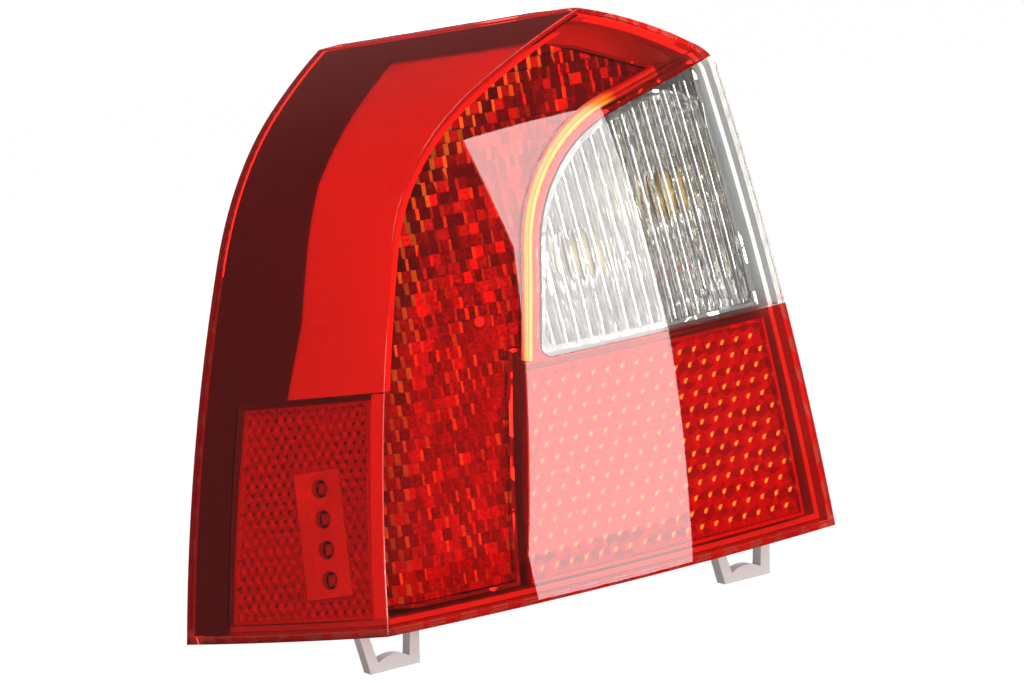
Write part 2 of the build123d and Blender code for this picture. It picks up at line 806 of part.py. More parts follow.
chamber_floor = body_depth - housing_wall - seat_gap
optic_back = optic_depth + optic_wall + brick_relief + seat_gap
post_front = rear_depth(rivet_spot[0], rivet_spot[1] + brick_height, optic_back)
post_offset = Vector(*rivet_spot) - Vector(*lamp_spots["stop"])
post_back = bowl_depth + bowl_wall / 2 - post_offset.length**2 / (4 * bowl_focus)
stop_spots = (lamp_spots["stop"], lamp_spots["tail"])
with BuildPart() as stop_reflector:
    add(rear_prism(optic_outline(0), -margin, chamber_floor))
    add(rear_prism(optic_outline(chamber_wall), -2 * margin, 2 * body_depth), mode=Mode.SUBTRACT)
    add(rear_body(window_back + seat_gap), mode=Mode.INTERSECT)
    add(side_body(chamber_inset), mode=Mode.INTERSECT)
    add(bowl_sheet(optic_outline(chamber_wall / 2), stop_spots, optic_back + column_width))
    with BuildSketch(spot_plane(*rivet_spot, post_front)):
        Circle(rivet_post_r)
    extrude(amount=post_back - post_front)
    with BuildSketch(spot_plane(*rivet_spot, post_front)):
        Circle(rivet_r + seat_gap / 4)
    extrude(amount=rivet_shank, mode=Mode.SUBTRACT)
stop_reflector.part.label = "stop_reflector"
export_step(stop_reflector.part, "parts/stop_reflector.step")

signal_spots = (lamp_spots["turn"], lamp_spots["reverse"])
signal_right = flute_right + signal_grow
signal_shape = window_outline(signal_grow, signal_grow, -signal_grow, signal_right)
signal_wall = signal_grow - chamber_wall
signal_floor = -signal_grow - chamber_wall
signal_inside = window_outline(signal_wall, signal_wall, signal_floor, signal_right - chamber_wall)
with BuildPart() as signal_reflector:
    add(rear_prism(signal_shape, -margin, chamber_floor))
    add(rear_prism(signal_inside, -2 * margin, 2 * body_depth), mode=Mode.SUBTRACT)
    add(rear_body(window_back + seat_gap), mode=Mode.INTERSECT)
    add(bowl_sheet(signal_inside, signal_spots, window_back + lens_wall))
signal_reflector.part.label = "signal_reflector"
export_step(signal_reflector.part, "parts/signal_reflector.step")

# Lamp sets: glass bulb, bayonet base and twist lock holder
collar_top = body_depth + collar_height
flange_seat = collar_top + seal_wall
nose_depth = bowl_depth - holder_nose
holder_back = flange_seat + holder_flange + holder_grip
lug_depth = body_depth - housing_wall - seat_gap - lug_height
pin_spots = ((-terminal_pitch / 2, 0), (terminal_pitch / 2, 0))
for lamp, (x, z) in lamp_spots.items():
    with BuildPart() as bulb:
        with BuildSketch(Plane(origin=spot(rear_view, x, z, nose_depth), x_dir=(1, 0, 0), z_dir=(0, 0, 1))):
            with BuildLine():
                swell = bulb_length - bulb_r
                neck = (bulb_neck_r, -bulb_neck)
                Polyline((0, -bulb_length), (0, 0), (bulb_neck_r, 0), neck)
                Bezier(neck, (bulb_neck_r, -swell / 2), (bulb_r, -swell / 2), (bulb_r, -swell))
                RadiusArc((bulb_r, -swell), (0, -bulb_length), bulb_r)
            make_face()
        revolve(axis=Axis(spot(rear_view, x, z, 0), (0, 1, 0)))
    bulb.part.label = lamp + "_bulb"
    export_step(bulb.part, "parts/" + lamp + "_bulb.step")

    with BuildPart() as base:
        with BuildSketch(spot_plane(x, z, nose_depth)):
            Circle(base_r)
        extrude(amount=base_length)
        with BuildSketch(spot_plane(x, z, nose_depth - base_lip)):
            Circle(base_r)
            Circle(bulb_neck_r, mode=Mode.SUBTRACT)
        extrude(amount=base_lip)
    base.part.label = lamp + "_bulb_base"
    export_step(base.part, "parts/" + lamp + "_bulb_base.step")

    with BuildPart() as holder:
        with BuildSketch(spot_plane(x, z, nose_depth)):
            Circle(holder_nose_r)
        extrude(amount=lug_depth - nose_depth)
        with BuildSketch(spot_plane(x, z, lug_depth)):
            Circle(holder_r)
        extrude(amount=flange_seat - lug_depth)
        with BuildSketch(spot_plane(x, z, lug_depth)):
            with PolarLocations(holder_r, lug_count):
                Rectangle(2 * lug_size[0], lug_size[1])
        extrude(amount=lug_height)
        with BuildSketch(spot_plane(x, z, flange_seat)):
            Circle(holder_flange_r)
        extrude(amount=holder_flange)
        with BuildSketch(spot_plane(x, z, flange_seat + holder_flange)):
            Circle(holder_grip_r)
            with PolarLocations(holder_grip_r, lug_count, start_angle=90):
                Rectangle(2 * lug_size[0], lug_size[1] / 2)
        extrude(amount=holder_grip)
        with BuildSketch(spot_plane(x, z, holder_back)):
            RectangleRounded(*shroud_size, 2)
            RectangleRounded(*(size - 2 * shroud_wall for size in shroud_size), 1, mode=Mode.SUBTRACT)
        extrude(amount=shroud_length)
        with BuildSketch(spot_plane(x, z, nose_depth)):
            Circle(base_r + seat_gap / 2)
        extrude(amount=base_length, mode=Mode.SUBTRACT)
        with BuildSketch(spot_plane(x, z, holder_back)):
            with Locations(*pin_spots):
                Rectangle(*terminal_size)
        extrude(amount=-terminal_root, mode=Mode.SUBTRACT)
    holder.part.label = lamp + "_holder"
    export_step(holder.part, "parts/" + lamp + "_holder.step")

with BuildPart() as lamp_terminals:
    for x, z in lamp_spots.values():
        with BuildSketch(spot_plane(x, z, holder_back - terminal_root)):
            with Locations(*pin_spots):
                Rectangle(*terminal_size)
        extrude(amount=terminal_root + shroud_length - shroud_wall)
lamp_terminals.part.label = "lamp_terminals"
export_step(lamp_terminals.part, "parts/lamp_terminals.step")

with BuildPart() as holder_seals:
    for x, z in lamp_spots.values():
        with BuildSketch(spot_plane(x, z, collar_top)):
            Circle(holder_flange_r - fit_gap)
            Circle(holder_r + fit_gap, mode=Mode.SUBTRACT)
        extrude(amount=seal_wall)
holder_seals.part.label = "holder_seals"
export_step(holder_seals.part, "parts/holder_seals.step")

# Studs with six sided heads and collars held in the housing bosses, and a foam ring round each boss
stud_spots = ((stud_x, stud_low), (stud_x, stud_high))
stud_root = body_depth - housing_wall + 1
with BuildPart() as mounting_studs:
    for x, z in stud_spots:
        with BuildSketch(spot_plane(x, z, stud_root)):
            RegularPolygon(stud_head_r, 6)
        extrude(amount=stud_head)
        with BuildSketch(spot_plane(x, z, stud_root)):
            Circle(stud_collar_r)
        extrude(amount=seat_depth - stud_root)
        with BuildSketch(spot_plane(x, z, stud_root)):
            Circle(stud_r)
        extrude(amount=seat_depth + stud_reach - stud_root)
    chamfer(mounting_studs.faces().group_by(Axis.Y)[-1].edges(), 0.8)
mounting_studs.part.label = "mounting_studs"
export_step(mounting_studs.part, "parts/mounting_studs.step")

with BuildPart() as stud_seals:
    for x, z in stud_spots:
        with BuildSketch(spot_plane(x, z, body_depth)):
            Circle(foam_r)
            Circle(boss_r + seat_gap, mode=Mode.SUBTRACT)
        extrude(amount=seat_depth - body_depth - fit_gap)
stud_seals.part.label = "stud_seals"
export_step(stud_seals.part, "parts/stud_seals.step")

# Housing: hollow body behind the lens, with a pocket for the corner of the car body
behind = polygon_outline(((-200, -100), (300, -100), (300, 400), (-200, 400)))
shoulder_depth = lens_foot + seal_height
tongue_depth = lens_foot - tongue
tongue_edge = lens_wall + fit_gap
plug_inside = tuple(size - 2 * shroud_wall for size in shroud_size)
with BuildPart() as pocket:
    add(side_body(side_room))
    add(side_prism(behind, wing_reach, 2 * side_reach))
    add(rear_prism(behind, body_depth, 3 * rear_reach), mode=Mode.INTERSECT)
with BuildPart() as pocket_wall:
    add(side_body(side_room - housing_wall))
    add(side_prism(behind, wing_reach - housing_wall, 2 * side_reach))
    add(rear_prism(behind, body_depth - housing_wall, 3 * rear_reach), mode=Mode.INTERSECT)
shelf_depth = shoulder_depth + housing_wall
with BuildPart() as cavity:
    add(block(tongue_depth - 1, tongue_depth - 1, tongue_edge + housing_wall))
    add(block(shelf_depth, shelf_depth, housing_wall))
    add(pocket_wall.part, mode=Mode.SUBTRACT)
with BuildPart() as housing:
    add(block(shoulder_depth, shoulder_depth, 0))
    add(block(tongue_depth, tongue_depth, tongue_edge))
    add(cavity.part, mode=Mode.SUBTRACT)
    add(pocket.part, mode=Mode.SUBTRACT)
    with BuildSketch(spot_plane(0, 0, body_depth)):
        with Locations(*((-x, z) for x, z in lamp_spots.values())):
            Circle(holder_flange_r)
    extrude(amount=collar_height)
    with BuildSketch(spot_plane(0, 0, body_depth)):
        with Locations(*((-x, z) for x, z in stud_spots)):
            Circle(boss_r)
    extrude(amount=seat_depth - body_depth)
    with BuildSketch(spot_plane(0, 0, body_depth)):
        with Locations((-stud_x, (stud_low + stud_high) / 2)):
            Rectangle(rib_width, stud_high - stud_low - 2 * foam_r - 2)
        with Locations((-lens_width / 2 - 12, window_bottom - 5)):
            Rectangle(lens_width - 60, rib_width)
    extrude(amount=rib_height)
    with BuildSketch(spot_plane(*vent_spot, body_depth)):
        Circle(vent_r)
    extrude(amount=vent_length)
    with BuildSketch(spot_plane(*plug_spot, body_depth)):
        RectangleRounded(*shroud_size, 2)
    extrude(amount=shroud_length)
    with BuildSketch(spot_plane(*plug_spot, body_depth)):
        RectangleRounded(*plug_inside, 1)
    extrude(amount=shroud_length, mode=Mode.SUBTRACT)
    for x in clip_spots:
        clip_plane = Plane(origin=spot(rear_view, x, 0, clip_depth[0]), x_dir=(1, 0, 0), z_dir=(0, -1, 0))
        with BuildSketch(clip_plane):
            with BuildLine():
                Polyline(
                    (-clip_top / 2, 0.5),
                    (-clip_foot / 2, -clip_drop),
                    (clip_foot / 2, -clip_drop),
                    (clip_top / 2, 0.5),
                    close=True,
                )
            make_face()
        extrude(amount=clip_depth[0] - clip_depth[1])
        with BuildSketch(clip_plane):
            with BuildLine():
                ThreePointArc(
                    (clip_leg - clip_foot / 2, clip_leg - clip_drop),
                    (0, clip_leg + clip_arch - clip_drop),
                    (clip_foot / 2 - clip_leg, clip_leg - clip_drop),
                )
                Polyline(
                    (clip_foot / 2 - clip_leg, clip_leg - clip_drop),
                    (clip_top / 2 - clip_leg, 0),
                    (clip_leg - clip_top / 2, 0),
                    (clip_leg - clip_foot / 2, clip_leg - clip_drop),
                )
            make_face()
        extrude(amount=clip_depth[0] - clip_depth[1], mode=Mode.SUBTRACT)
    with BuildSketch(spot_plane(0, 0, body_depth - 2 * housing_wall)):
        for x, z in lamp_spots.values():
            with Locations((-x, z)):
                Circle(holder_r + fit_gap)
                with PolarLocations(holder_r, lug_count, start_angle=60):
                    Rectangle(2 * (lug_size[0] + fit_gap), lug_size[1] + 2 * fit_gap)
        with Locations((-vent_spot[0], vent_spot[1])):
            Circle(vent_r - shroud_wall)
        with Locations(*((-plug_spot[0] + x, plug_spot[1] + z) for x, z in pin_spots)):
            Rectangle(pin_width, pin_width)
    extrude(amount=collar_height + vent_length + 2 * housing_wall, mode=Mode.SUBTRACT)
    add(mounting_studs.part, mode=Mode.SUBTRACT)
housing.part.label = "housing"
export_step(housing.part, "parts/housing.step")

# Bead between the foot of the lens and the shoulder of the housing
with BuildPart() as lens_seal:
    add(block(lens_foot, lens_foot, fit_gap))
    add(block(shoulder_depth, shoulder_depth, -margin), mode=Mode.SUBTRACT)
    add(block(tongue_depth, tongue_depth, lens_wall - fit_gap), mode=Mode.SUBTRACT)
lens_seal.part.label = "lens_seal"
export_step(lens_seal.part, "parts/lens_seal.step")

# Vent cap on its spigot, and the two pins of the side marker plug
with BuildPart() as vent_cap:
    with BuildSketch(spot_plane(*vent_spot, body_depth)):
        Circle(vent_cap_r)
    extrude(amount=vent_length + shroud_wall + 1)
    with BuildSketch(spot_plane(*vent_spot, body_depth)):
        Circle(vent_r + seat_gap / 2)
    extrude(amount=vent_length + 1, mode=Mode.SUBTRACT)
    with BuildSketch(spot_plane(*vent_spot, body_depth)):
        Rectangle(2 * vent_cap_r, 2)
    extrude(amount=2, mode=Mode.SUBTRACT)
    fillet(vent_cap.faces().sort_by(Axis.Y)[-1].edges(), 1.2)
vent_cap.part.label = "vent_cap"
export_step(vent_cap.part, "parts/vent_cap.step")

with BuildPart() as marker_pins:
    with BuildSketch(spot_plane(*plug_spot, body_depth - 2 * housing_wall)):
        with Locations(*pin_spots):
            Rectangle(pin_width, pin_width)
    extrude(amount=2 * housing_wall + shroud_length - shroud_wall)
marker_pins.part.label = "marker_pins"
export_step(marker_pins.part, "parts/marker_pins.step")
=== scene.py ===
"""Tail light cluster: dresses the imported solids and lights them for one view.

Every length is in metres in the row frame: the origin is midway between the mounting studs on their
seat face, +X runs inboard along the rear face, +Y runs forward into the car and +Z is up.
"""

import logging
import math
from dataclasses import dataclass, field
from enum import Enum
from typing import Optional, Union

import bpy
import numpy as np
from mathutils import Matrix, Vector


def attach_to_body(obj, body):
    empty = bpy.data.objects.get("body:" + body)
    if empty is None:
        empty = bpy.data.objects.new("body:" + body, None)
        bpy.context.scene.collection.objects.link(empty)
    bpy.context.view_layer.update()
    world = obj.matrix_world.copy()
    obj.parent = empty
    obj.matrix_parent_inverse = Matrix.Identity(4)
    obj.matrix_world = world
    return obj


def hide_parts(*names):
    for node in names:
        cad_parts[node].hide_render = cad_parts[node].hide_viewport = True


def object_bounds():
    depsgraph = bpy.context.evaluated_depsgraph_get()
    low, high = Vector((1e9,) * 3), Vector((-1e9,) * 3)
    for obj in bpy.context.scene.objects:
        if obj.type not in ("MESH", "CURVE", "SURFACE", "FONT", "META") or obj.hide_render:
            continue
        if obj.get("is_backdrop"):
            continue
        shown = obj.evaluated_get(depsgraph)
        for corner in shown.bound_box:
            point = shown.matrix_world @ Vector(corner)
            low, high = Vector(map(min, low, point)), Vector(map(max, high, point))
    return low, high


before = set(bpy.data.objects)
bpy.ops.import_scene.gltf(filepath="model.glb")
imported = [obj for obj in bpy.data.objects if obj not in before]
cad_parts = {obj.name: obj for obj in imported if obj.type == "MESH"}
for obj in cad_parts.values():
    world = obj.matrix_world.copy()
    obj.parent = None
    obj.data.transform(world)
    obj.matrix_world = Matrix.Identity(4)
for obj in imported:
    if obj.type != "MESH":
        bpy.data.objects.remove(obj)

Array = np.ndarray
Item = bpy.types.Object
Pair = tuple[float, float]
Triple = tuple[float, float, float]
Colour = Triple
Stops = tuple[tuple[float, Colour], ...]
Operand = Union["Wire", float]
Value = Union["Wire", float, tuple[float, ...]]
Socket = Union[int, str]

LOG = logging.getLogger("tail_light")
MERGE_KEYS = 1e6  # per metre: corners that round to the same key are one
TINY = 1e-15
UP: Triple = (0.0, 0.0, 1.0)
EVEN: Triple = (1.0, 1.0, 1.0)
WHITE: Colour = (1.0, 1.0, 1.0)
BLACK: Colour = (0.0, 0.0, 0.0)
NOISE_MEAN = 0.5
FINE = 3.0  # octaves of the finer noise
NOISE_RANGE: Pair = (0.3, 0.7)  # where most of the noise lies
SEEN_THROUGH = 0.24  # share of the white surround that shows through the lens
SCATTER: Triple = (12.9898, 4.1414, 43758.5453)


class Wire:
    """One value in a shader; arithmetic on it adds Math nodes."""

    def __init__(self, shader: "Shader", socket: bpy.types.NodeSocket) -> None:
        """Keep the shader and the output socket that carries the value."""
        self.shader = shader
        self.socket = socket

    def math(self, operation: str, *others: Operand) -> "Wire":
        """Apply a Math node to this value, with further operands where the operation has them."""
        return self.shader.node("ShaderNodeMath", dict(enumerate((self, *others))), operation=operation)

    def __add__(self, other: Operand) -> "Wire":
        """Sum."""
        return self.math("ADD", other)

    def __sub__(self, other: Operand) -> "Wire":
        """Difference."""
        return self.math("SUBTRACT", other)

    def __rsub__(self, other: float) -> "Wire":
        """Difference from a number on the left."""
        return (self * -1.0) + other

    def __mul__(self, other: Operand) -> "Wire":
        """Product."""
        return self.math("MULTIPLY", other)

    __radd__ = __add__
    __rmul__ = __mul__


class Shader:
    """The nodes of one material or of the world, built value by value."""

    def __init__(self, owner: Union[bpy.types.Material, bpy.types.World]) -> None:
        """Start an empty node tree with an output.

        Args:
            owner: the material or world that the nodes belong to.
        """
        owner.use_nodes = True
        kind = "World" if isinstance(owner, bpy.types.World) else "Material"
        self.tree = owner.node_tree
        self.tree.nodes.clear()
        self.output = self.tree.nodes.new("ShaderNodeOutput" + kind)

    def node(self, kind: str, values: dict[Socket, Value], output: Socket = 0, **settings: object) -> Wire:
        """Add one node.

        Args:
            kind: the node's type.
            values: numbers, colours or wires for its sockets.
            output: the output that is wanted.
            settings: properties of the node, set first.

        Returns:
            The wanted output.
        """
        made = self.tree.nodes.new(kind)
        for key, setting in settings.items():
            setattr(made, key, setting)
        for key, value in values.items():
            socket = made.inputs[key]
            if isinstance(value, Wire):
                self.tree.links.new(value.socket, socket)
            elif isinstance(value, tuple) and len(value) == 3 and socket.type == "RGBA":
                socket.default_value = (*value, 1.0)
            else:
                socket.default_value = value
        return Wire(self, made.outputs[output])

    def place(self) -> Wire:
        """Object coordinates."""
        return self.node("ShaderNodeTexCoord", {}, "Object")

    def tag(self, name: str) -> Wire:
        """A named attribute of the piece."""
        return self.node("ShaderNodeAttribute", {}, "Fac", attribute_name=name)

    def noise(self, size: float, detail: float = 2.0, stretch: Triple = EVEN) -> Wire:
        """Cloudy noise on object coordinates.

        Args:
            size: size of the clouds.
            detail: octaves.
            stretch: scale along each axis.

        Returns:
            A value about NOISE_MEAN.
        """
        where = self.node("ShaderNodeMapping", {"Vector": self.place(), "Scale": stretch})
        values = {"Vector": where, "Scale": 1.0 / size, "Detail": detail}
        return self.node("ShaderNodeTexNoise", values, "Fac")

    def spread(self, value: Wire, low: float, high: float, source: Pair = (0.0, 1.0)) -> Wire:
        """Map a range of a value, the source, on low to high, held at its ends."""
        values = {"Value": value, "From Min": source[0], "From Max": source[1], "To Min": low, "To Max": high}
        return self.node("ShaderNodeMapRange", values, clamp=True)

    def swing(self, value: Wire, level: float, shares: Pair, source: Pair = NOISE_RANGE) -> Wire:
        """A level that follows a value, from the first share of it to the second."""
        return self.spread(value, level * shares[0], level * shares[1], source)

    def blend(self, share: Wire, first: Value, second: Value) -> Wire:
        """Mix two colours by a share."""
        return self.node("ShaderNodeMix", {0: share, 6: first, 7: second}, 2, data_type="RGBA")

    def ramp(self, value: Wire, stops: Stops) -> Wire:
        """Colour of a value on a ramp.

        Args:
            value: where to read the ramp.
            stops: positions and colours in rising order.

        Returns:
            The colour.
        """
        wire = self.node("ShaderNodeValToRGB", {"Fac": value}, "Color")
        elements = wire.socket.node.color_ramp.elements
        while len(elements) < len(stops):
            elements.new(1.0)
        for element, (position, colour) in zip(elements, stops):
            element.position = position
            element.color = (*colour, 1.0)
        return wire

    def bump(self, height: Wire, depth: float, strength: float) -> Wire:
        """Surface normal bent by a height."""
        values = {"Height": height, "Distance": depth, "Strength": strength}
        return self.node("ShaderNodeBump", values, "Normal")

    def principled(self, values: dict[Socket, Value]) -> Wire:
        """A Principled surface."""
        return self.node("ShaderNodeBsdfPrincipled", values, "BSDF")

    def emission(self, colour: Colour, strength: float) -> Wire:
        """A surface that gives even light."""
        return self.node("ShaderNodeEmission", {"Color": colour, "Strength": strength})

    def mix(self, share: Wire, first: Wire, second: Wire) -> Wire:
        """Mix two surfaces by a share."""
        return self.node("ShaderNodeMixShader", {0: share, 1: first, 2: second})

    def ray(self, kind: str) -> Wire:
        """One output of the Light Path node."""
        return self.node("ShaderNodeLightPath", {}, kind)

    def shown(self) -> Wire:
        """1 for rays from the camera, less through see-through pieces, and 0 for reflections and light."""
        return self.ray("Is Camera Ray").math("MAXIMUM", self.ray("Is Transmission Ray") * SEEN_THROUGH)

    def finish(self, surface: Wire) -> None:
        """Connect the surface to the output."""
        self.tree.links.new(surface.socket, self.output.inputs["Surface"])


def shaded(colour: Colour, share: float) -> Colour:
    """A colour made darker or lighter by a share, held at full light."""
    return tuple(min(1.0, part * share) for part in colour)


@dataclass(frozen=True)
class Finish:
    """Base of every finish; a finish makes its material once."""

    name: str

    def shade(self, shader: Shader) -> Wire:
        """Build the surface of this finish."""
        raise NotImplementedError

    def material(self) -> bpy.types.Material:
        """Find the finish's material, or make it on first use.

        Returns:
            The material.
        """
        made = bpy.data.materials.get(self.name)
        if made is None:
            made = bpy.data.materials.new(self.name)
            shader = Shader(made)
            shader.finish(self.shade(shader))
        return made


@dataclass(frozen=True)
class Moulding(Finish):
    """Moulded plastic or rubber: fine grain, faint flow clouds and a slightly uneven gloss."""

    colour: Colour
    rough: float = 0.45
    gloss: Pair = (0.88, 1.12)
    tones: Pair = (0.88, 1.12)
    tone_range: Pair = NOISE_RANGE
    cloud: float = 0.03
    detail: float = FINE
    stretch: Triple = EVEN
    metallic: float = 0.0
    coat: float = 0.0
    coat_rough: float = 0.06
    grain: float = 0.0009
    depth: float = 0.00004
    strength: float = 0.6

    def relief(self, shader: Shader, cloud: Wire) -> Wire:
        """Height of the surface: noise as fine as the grain."""
        return shader.noise(self.grain)

    def shade(self, shader: Shader) -> Wire:
        """Cloudy colour and roughness on a relief.

        Args:
            shader: the material's nodes.

        Returns:
            The surface.
        """
        cloud = shader.noise(self.cloud, self.detail, self.stretch)
        share = shader.spread(cloud, 0.0, 1.0, self.tone_range)
        values = {
            "Base Color": shader.blend(share, *(shaded(self.colour, tone) for tone in self.tones)),
            "Metallic": self.metallic,
            "Roughness": shader.swing(cloud, self.rough, self.gloss),
            "Coat Weight": self.coat,
            "Coat Roughness": self.coat_rough,
            "Normal": shader.bump(self.relief(shader, cloud), self.depth, self.strength),
        }
        return shader.principled(values)


@dataclass(frozen=True)
class Metallised(Moulding):
    """Bright vacuum metallised plastic on small pillows as large as the grain."""

    colour: Colour = (0.92, 0.92, 0.93)
    rough: float = 0.05
    gloss: Pair = (0.6, 1.6)
    tones: Pair = (0.9, 1.0)
    tone_range: Pair = (0.0, 1.0)
    cloud: float = 0.012
    detail: float = 2.0
    metallic: float = 1.0
    grain: float = 0.012
    depth: float = 0.003
    strength: float = 0.25
    soft: float = 0.3

    def relief(self, shader: Shader, cloud: Wire) -> Wire:
        """Height of the surface: each pillow is the cone of the distance from its own middle."""
        values = {"Vector": shader.place(), "Scale": 1.0 / self.grain, "Smoothness": self.soft}
        return shader.node("ShaderNodeTexVoronoi", values, "Distance", feature="SMOOTH_F1")


@dataclass(frozen=True)
class PlatedMetal(Moulding):
    """Plated or plain metal with marks drawn along one axis in place of the clouds."""

    rough: float = 0.3
    gloss: Pair = (0.75, 1.3)
    tones: Pair = (0.82, 1.0)
    tone_range: Pair = (0.0, 1.0)
    cloud: float = 0.0006
    stretch: Triple = (1.0, 0.08, 1.0)
    metallic: float = 1.0
    depth: float = 0.00002
    strength: float = 0.5

    def relief(self, shader: Shader, cloud: Wire) -> Wire:
        """Height of the surface: the marks themselves."""
        return cloud


@dataclass(frozen=True)
class LensPlastic(Finish):
    """Polished see-through acrylic that lets shadow rays pass with its tint."""

    tint: Colour
    rough: float = 0.012
    gloss: Pair = (0.3, 1.0)
    haze: float = 0.02
    haze_range: Pair = (0.35, 0.7)
    ior: float = 1.49
    turns: Optional[float] = None
    deep: float = 0.8
    deep_rough: float = 0.6

    def shade(self, shader: Shader) -> Wire:
        """Glass-like surface with faint polishing marks and a tinted filter for shadow rays.

        Where turns is given, a ray that was mirrored more often meets the deep colour of the plastic.

        Args:
            shader: the material's nodes.

        Returns:
            The surface.
        """
        haze = shader.noise(self.haze, FINE)
        seen = shader.principled(
            {
                "Base Color": self.tint,
                "Roughness": shader.swing(haze, self.rough, self.gloss, self.haze_range),
                "IOR": self.ior,
                "Transmission Weight": 1.0,
            }
        )
        if self.turns is not None:
            late = shader.ray("Glossy Depth").math("GREATER_THAN", self.turns)
            body = {"Base Color": shaded(self.tint, self.deep), "Roughness": self.deep_rough}
            seen = shader.mix(late, seen, shader.principled(body))
        root = tuple(math.sqrt(part) for part in self.tint)
        filtered = shader.node("ShaderNodeBsdfTransparent", {"Color": root})
        return shader.mix(shader.ray("Is Shadow Ray"), seen, filtered)


@dataclass(frozen=True)
class PrismPlastic(Finish):
    """Polished prisms with painted light: the colour follows a painted shade level given to each facet, with
    spots of painted glint and glow where a facet would turn light back.
    """

    stops: Stops
    # colours of the painted spots and of their painted glow, given as emission
    painted_spot: Colour
    painted_glow: Colour
    patch: float = 0.0
    patch_range: Pair = (0.4, 0.6)
    patch_least: float = 0.15
    rough: float = 0.12
    gloss: Pair = (0.7, 1.4)
    metallic: float = 0.3
    coat: float = 0.4
    coat_rough: float = 0.04
    mottle: float = 0.25
    flicker: Pair = (0.75, 1.15)
    ripple: float = 0.0016
    ripple_depth: float = 0.00012
    ripple_strength: float = 0.5

    def spots(self, shader: Shader) -> Wire:
        """Share of the painted spot's colour, from the attribute of painted glints."""
        return shader.tag("painted_glint")

    def shade(self, shader: Shader) -> Wire:
        """Ramp on the painted facet shading with a faint ripple, and spots of painted glint and painted glow.

        Args:
            shader: the material's nodes.

        Returns:
            The surface.
        """
        ripple = shader.noise(self.ripple)
        painted_facet_shading = shader.tag("painted_facet_shading") + (ripple - NOISE_MEAN) * self.mottle
        share = self.spots(shader)
        # patches, where set, limit where the painted spots show
        if self.patch:
            patches = shader.noise(self.patch, 1.0)
            share = share * shader.spread(patches, self.patch_least, 1.0, self.patch_range)
        painted_glow_amount = share * shader.swing(ripple, 1.0, self.flicker)
        # base colour: painted shade from the facet levels, with the painted spots over it
        values = {
            "Base Color": shader.blend(share, shader.ramp(painted_facet_shading, self.stops), self.painted_spot),
            "Metallic": self.metallic,
            "Roughness": shader.swing(ripple, self.rough, self.gloss),
            "Coat Weight": self.coat,
            "Coat Roughness": self.coat_rough,
            # painted glow: the prisms give no light of their own
            "Emission Color": shader.blend(painted_glow_amount, BLACK, self.painted_glow),
            "Emission Strength": 1.0,
            "Normal": shader.bump(ripple, self.ripple_depth, self.ripple_strength),
        }
        return shader.principled(values)


@dataclass(frozen=True)
class ReflexPlastic(PrismPlastic):
    """Cube corners with one leaning painted spot in the middle of each cell; its colours give the painted
    glow of the rear reflex and the painted dark dots of the side one.
    """

    half: Pair = (0.0008, 0.00105)
    lean: float = 0.6
    soft: float = 0.00025

    def within(self, distance: Wire, limit: float) -> Wire:
        """1 for distances to both sides within a limit and 0 past it, with a soft step."""
        step = (limit - self.soft, limit + self.soft)
        return distance.shader.spread(distance.math("ABSOLUTE"), 1.0, 0.0, step)

    def spots(self, shader: Shader) -> Wire:
        """Share of the painted spot's colour: 1 where a place in the cell is within half of its middle both
        ways.
        """
        rise, side = shader.tag("cell_up"), shader.tag("cell_across")
        return self.within(side - rise * self.lean, self.half[0]) * self.within(rise, self.half[1])


@dataclass(frozen=True)
class PaintedLipGlow(Finish):
    """Hidden lip of the clear window with a painted glow that stands for light behind the edge of the red
    lens.
    """

    stops: Stops
    far: Stops
    turn: Pair = (0.62, 0.74)
    rough: float = 0.06
    # strength of the painted glow
    painted_glow: float = 0.55
    wave: float = 0.02
    wave_share: float = 0.04
    fade_in: Pair = (0.0, 0.06)
    fade_out: Pair = (0.8, 1.0)
    cover: Pair = (0.92, 0.6)

    def shade(self, shader: Shader) -> Wire:
        """Painted glow in bands across the lip, orange along the side and the bend of the window and red
        along its top.

        Args:
            shader: the material's nodes.

        Returns:
            The surface.
        """
        across = shader.tag("across")
        ripple = across + (shader.noise(self.wave) - NOISE_MEAN) * self.wave_share
        share = shader.spread(shader.tag("along"), 0.0, 1.0, self.turn)
        colour = shader.blend(share, shader.ramp(ripple, self.stops), shader.ramp(ripple, self.far))
        fade = shader.spread(across, 0.0, 1.0, self.fade_in) * shader.spread(across, 1.0, 0.0, self.fade_out)
        # the emission is a painted glow; the lip gives no light of its own
        values = {
            "Base Color": colour,
            "Roughness": self.rough,
            "Alpha": fade * shader.spread(share, *self.cover),
            "Emission Color": colour,
            "Emission Strength": self.painted_glow,
        }
        return shader.principled(values)


@dataclass(frozen=True)
class PaleFloor(Finish):
    """Pale floor that keeps the shadow, white to the camera and dim in reflections."""

    tones: Pair = (0.86, 0.9)
    cloud: float = 0.4
    rough: float = 0.9
    share: float = 0.93
    bright: float = 1.06
    dim: float = 0.1

    def shade(self, shader: Shader) -> Wire:
        """Pale clouds, with an even light in their place that depends on the kind of ray.

        Args:
            shader: the material's nodes.

        Returns:
            The surface.
        """
        tone = shader.blend(shader.noise(self.cloud), *(shaded(WHITE, tone) for tone in self.tones))
        pale = shader.principled({"Base Color": tone, "Roughness": self.rough})
        plain = shader.mix(shader.ray("Is Glossy Ray"), pale, shader.emission(WHITE, self.dim))
        return shader.mix(shader.shown() * self.share, plain, shader.emission(WHITE, self.bright))


@dataclass(frozen=True)
class LitCloth(Finish):
    """Lit cloth of the softbox."""

    colour: Colour = (1.0, 0.98, 0.97)
    strength: float = 9.0

    def shade(self, shader: Shader) -> Wire:
        """Even light."""
        return shader.emission(self.colour, self.strength)


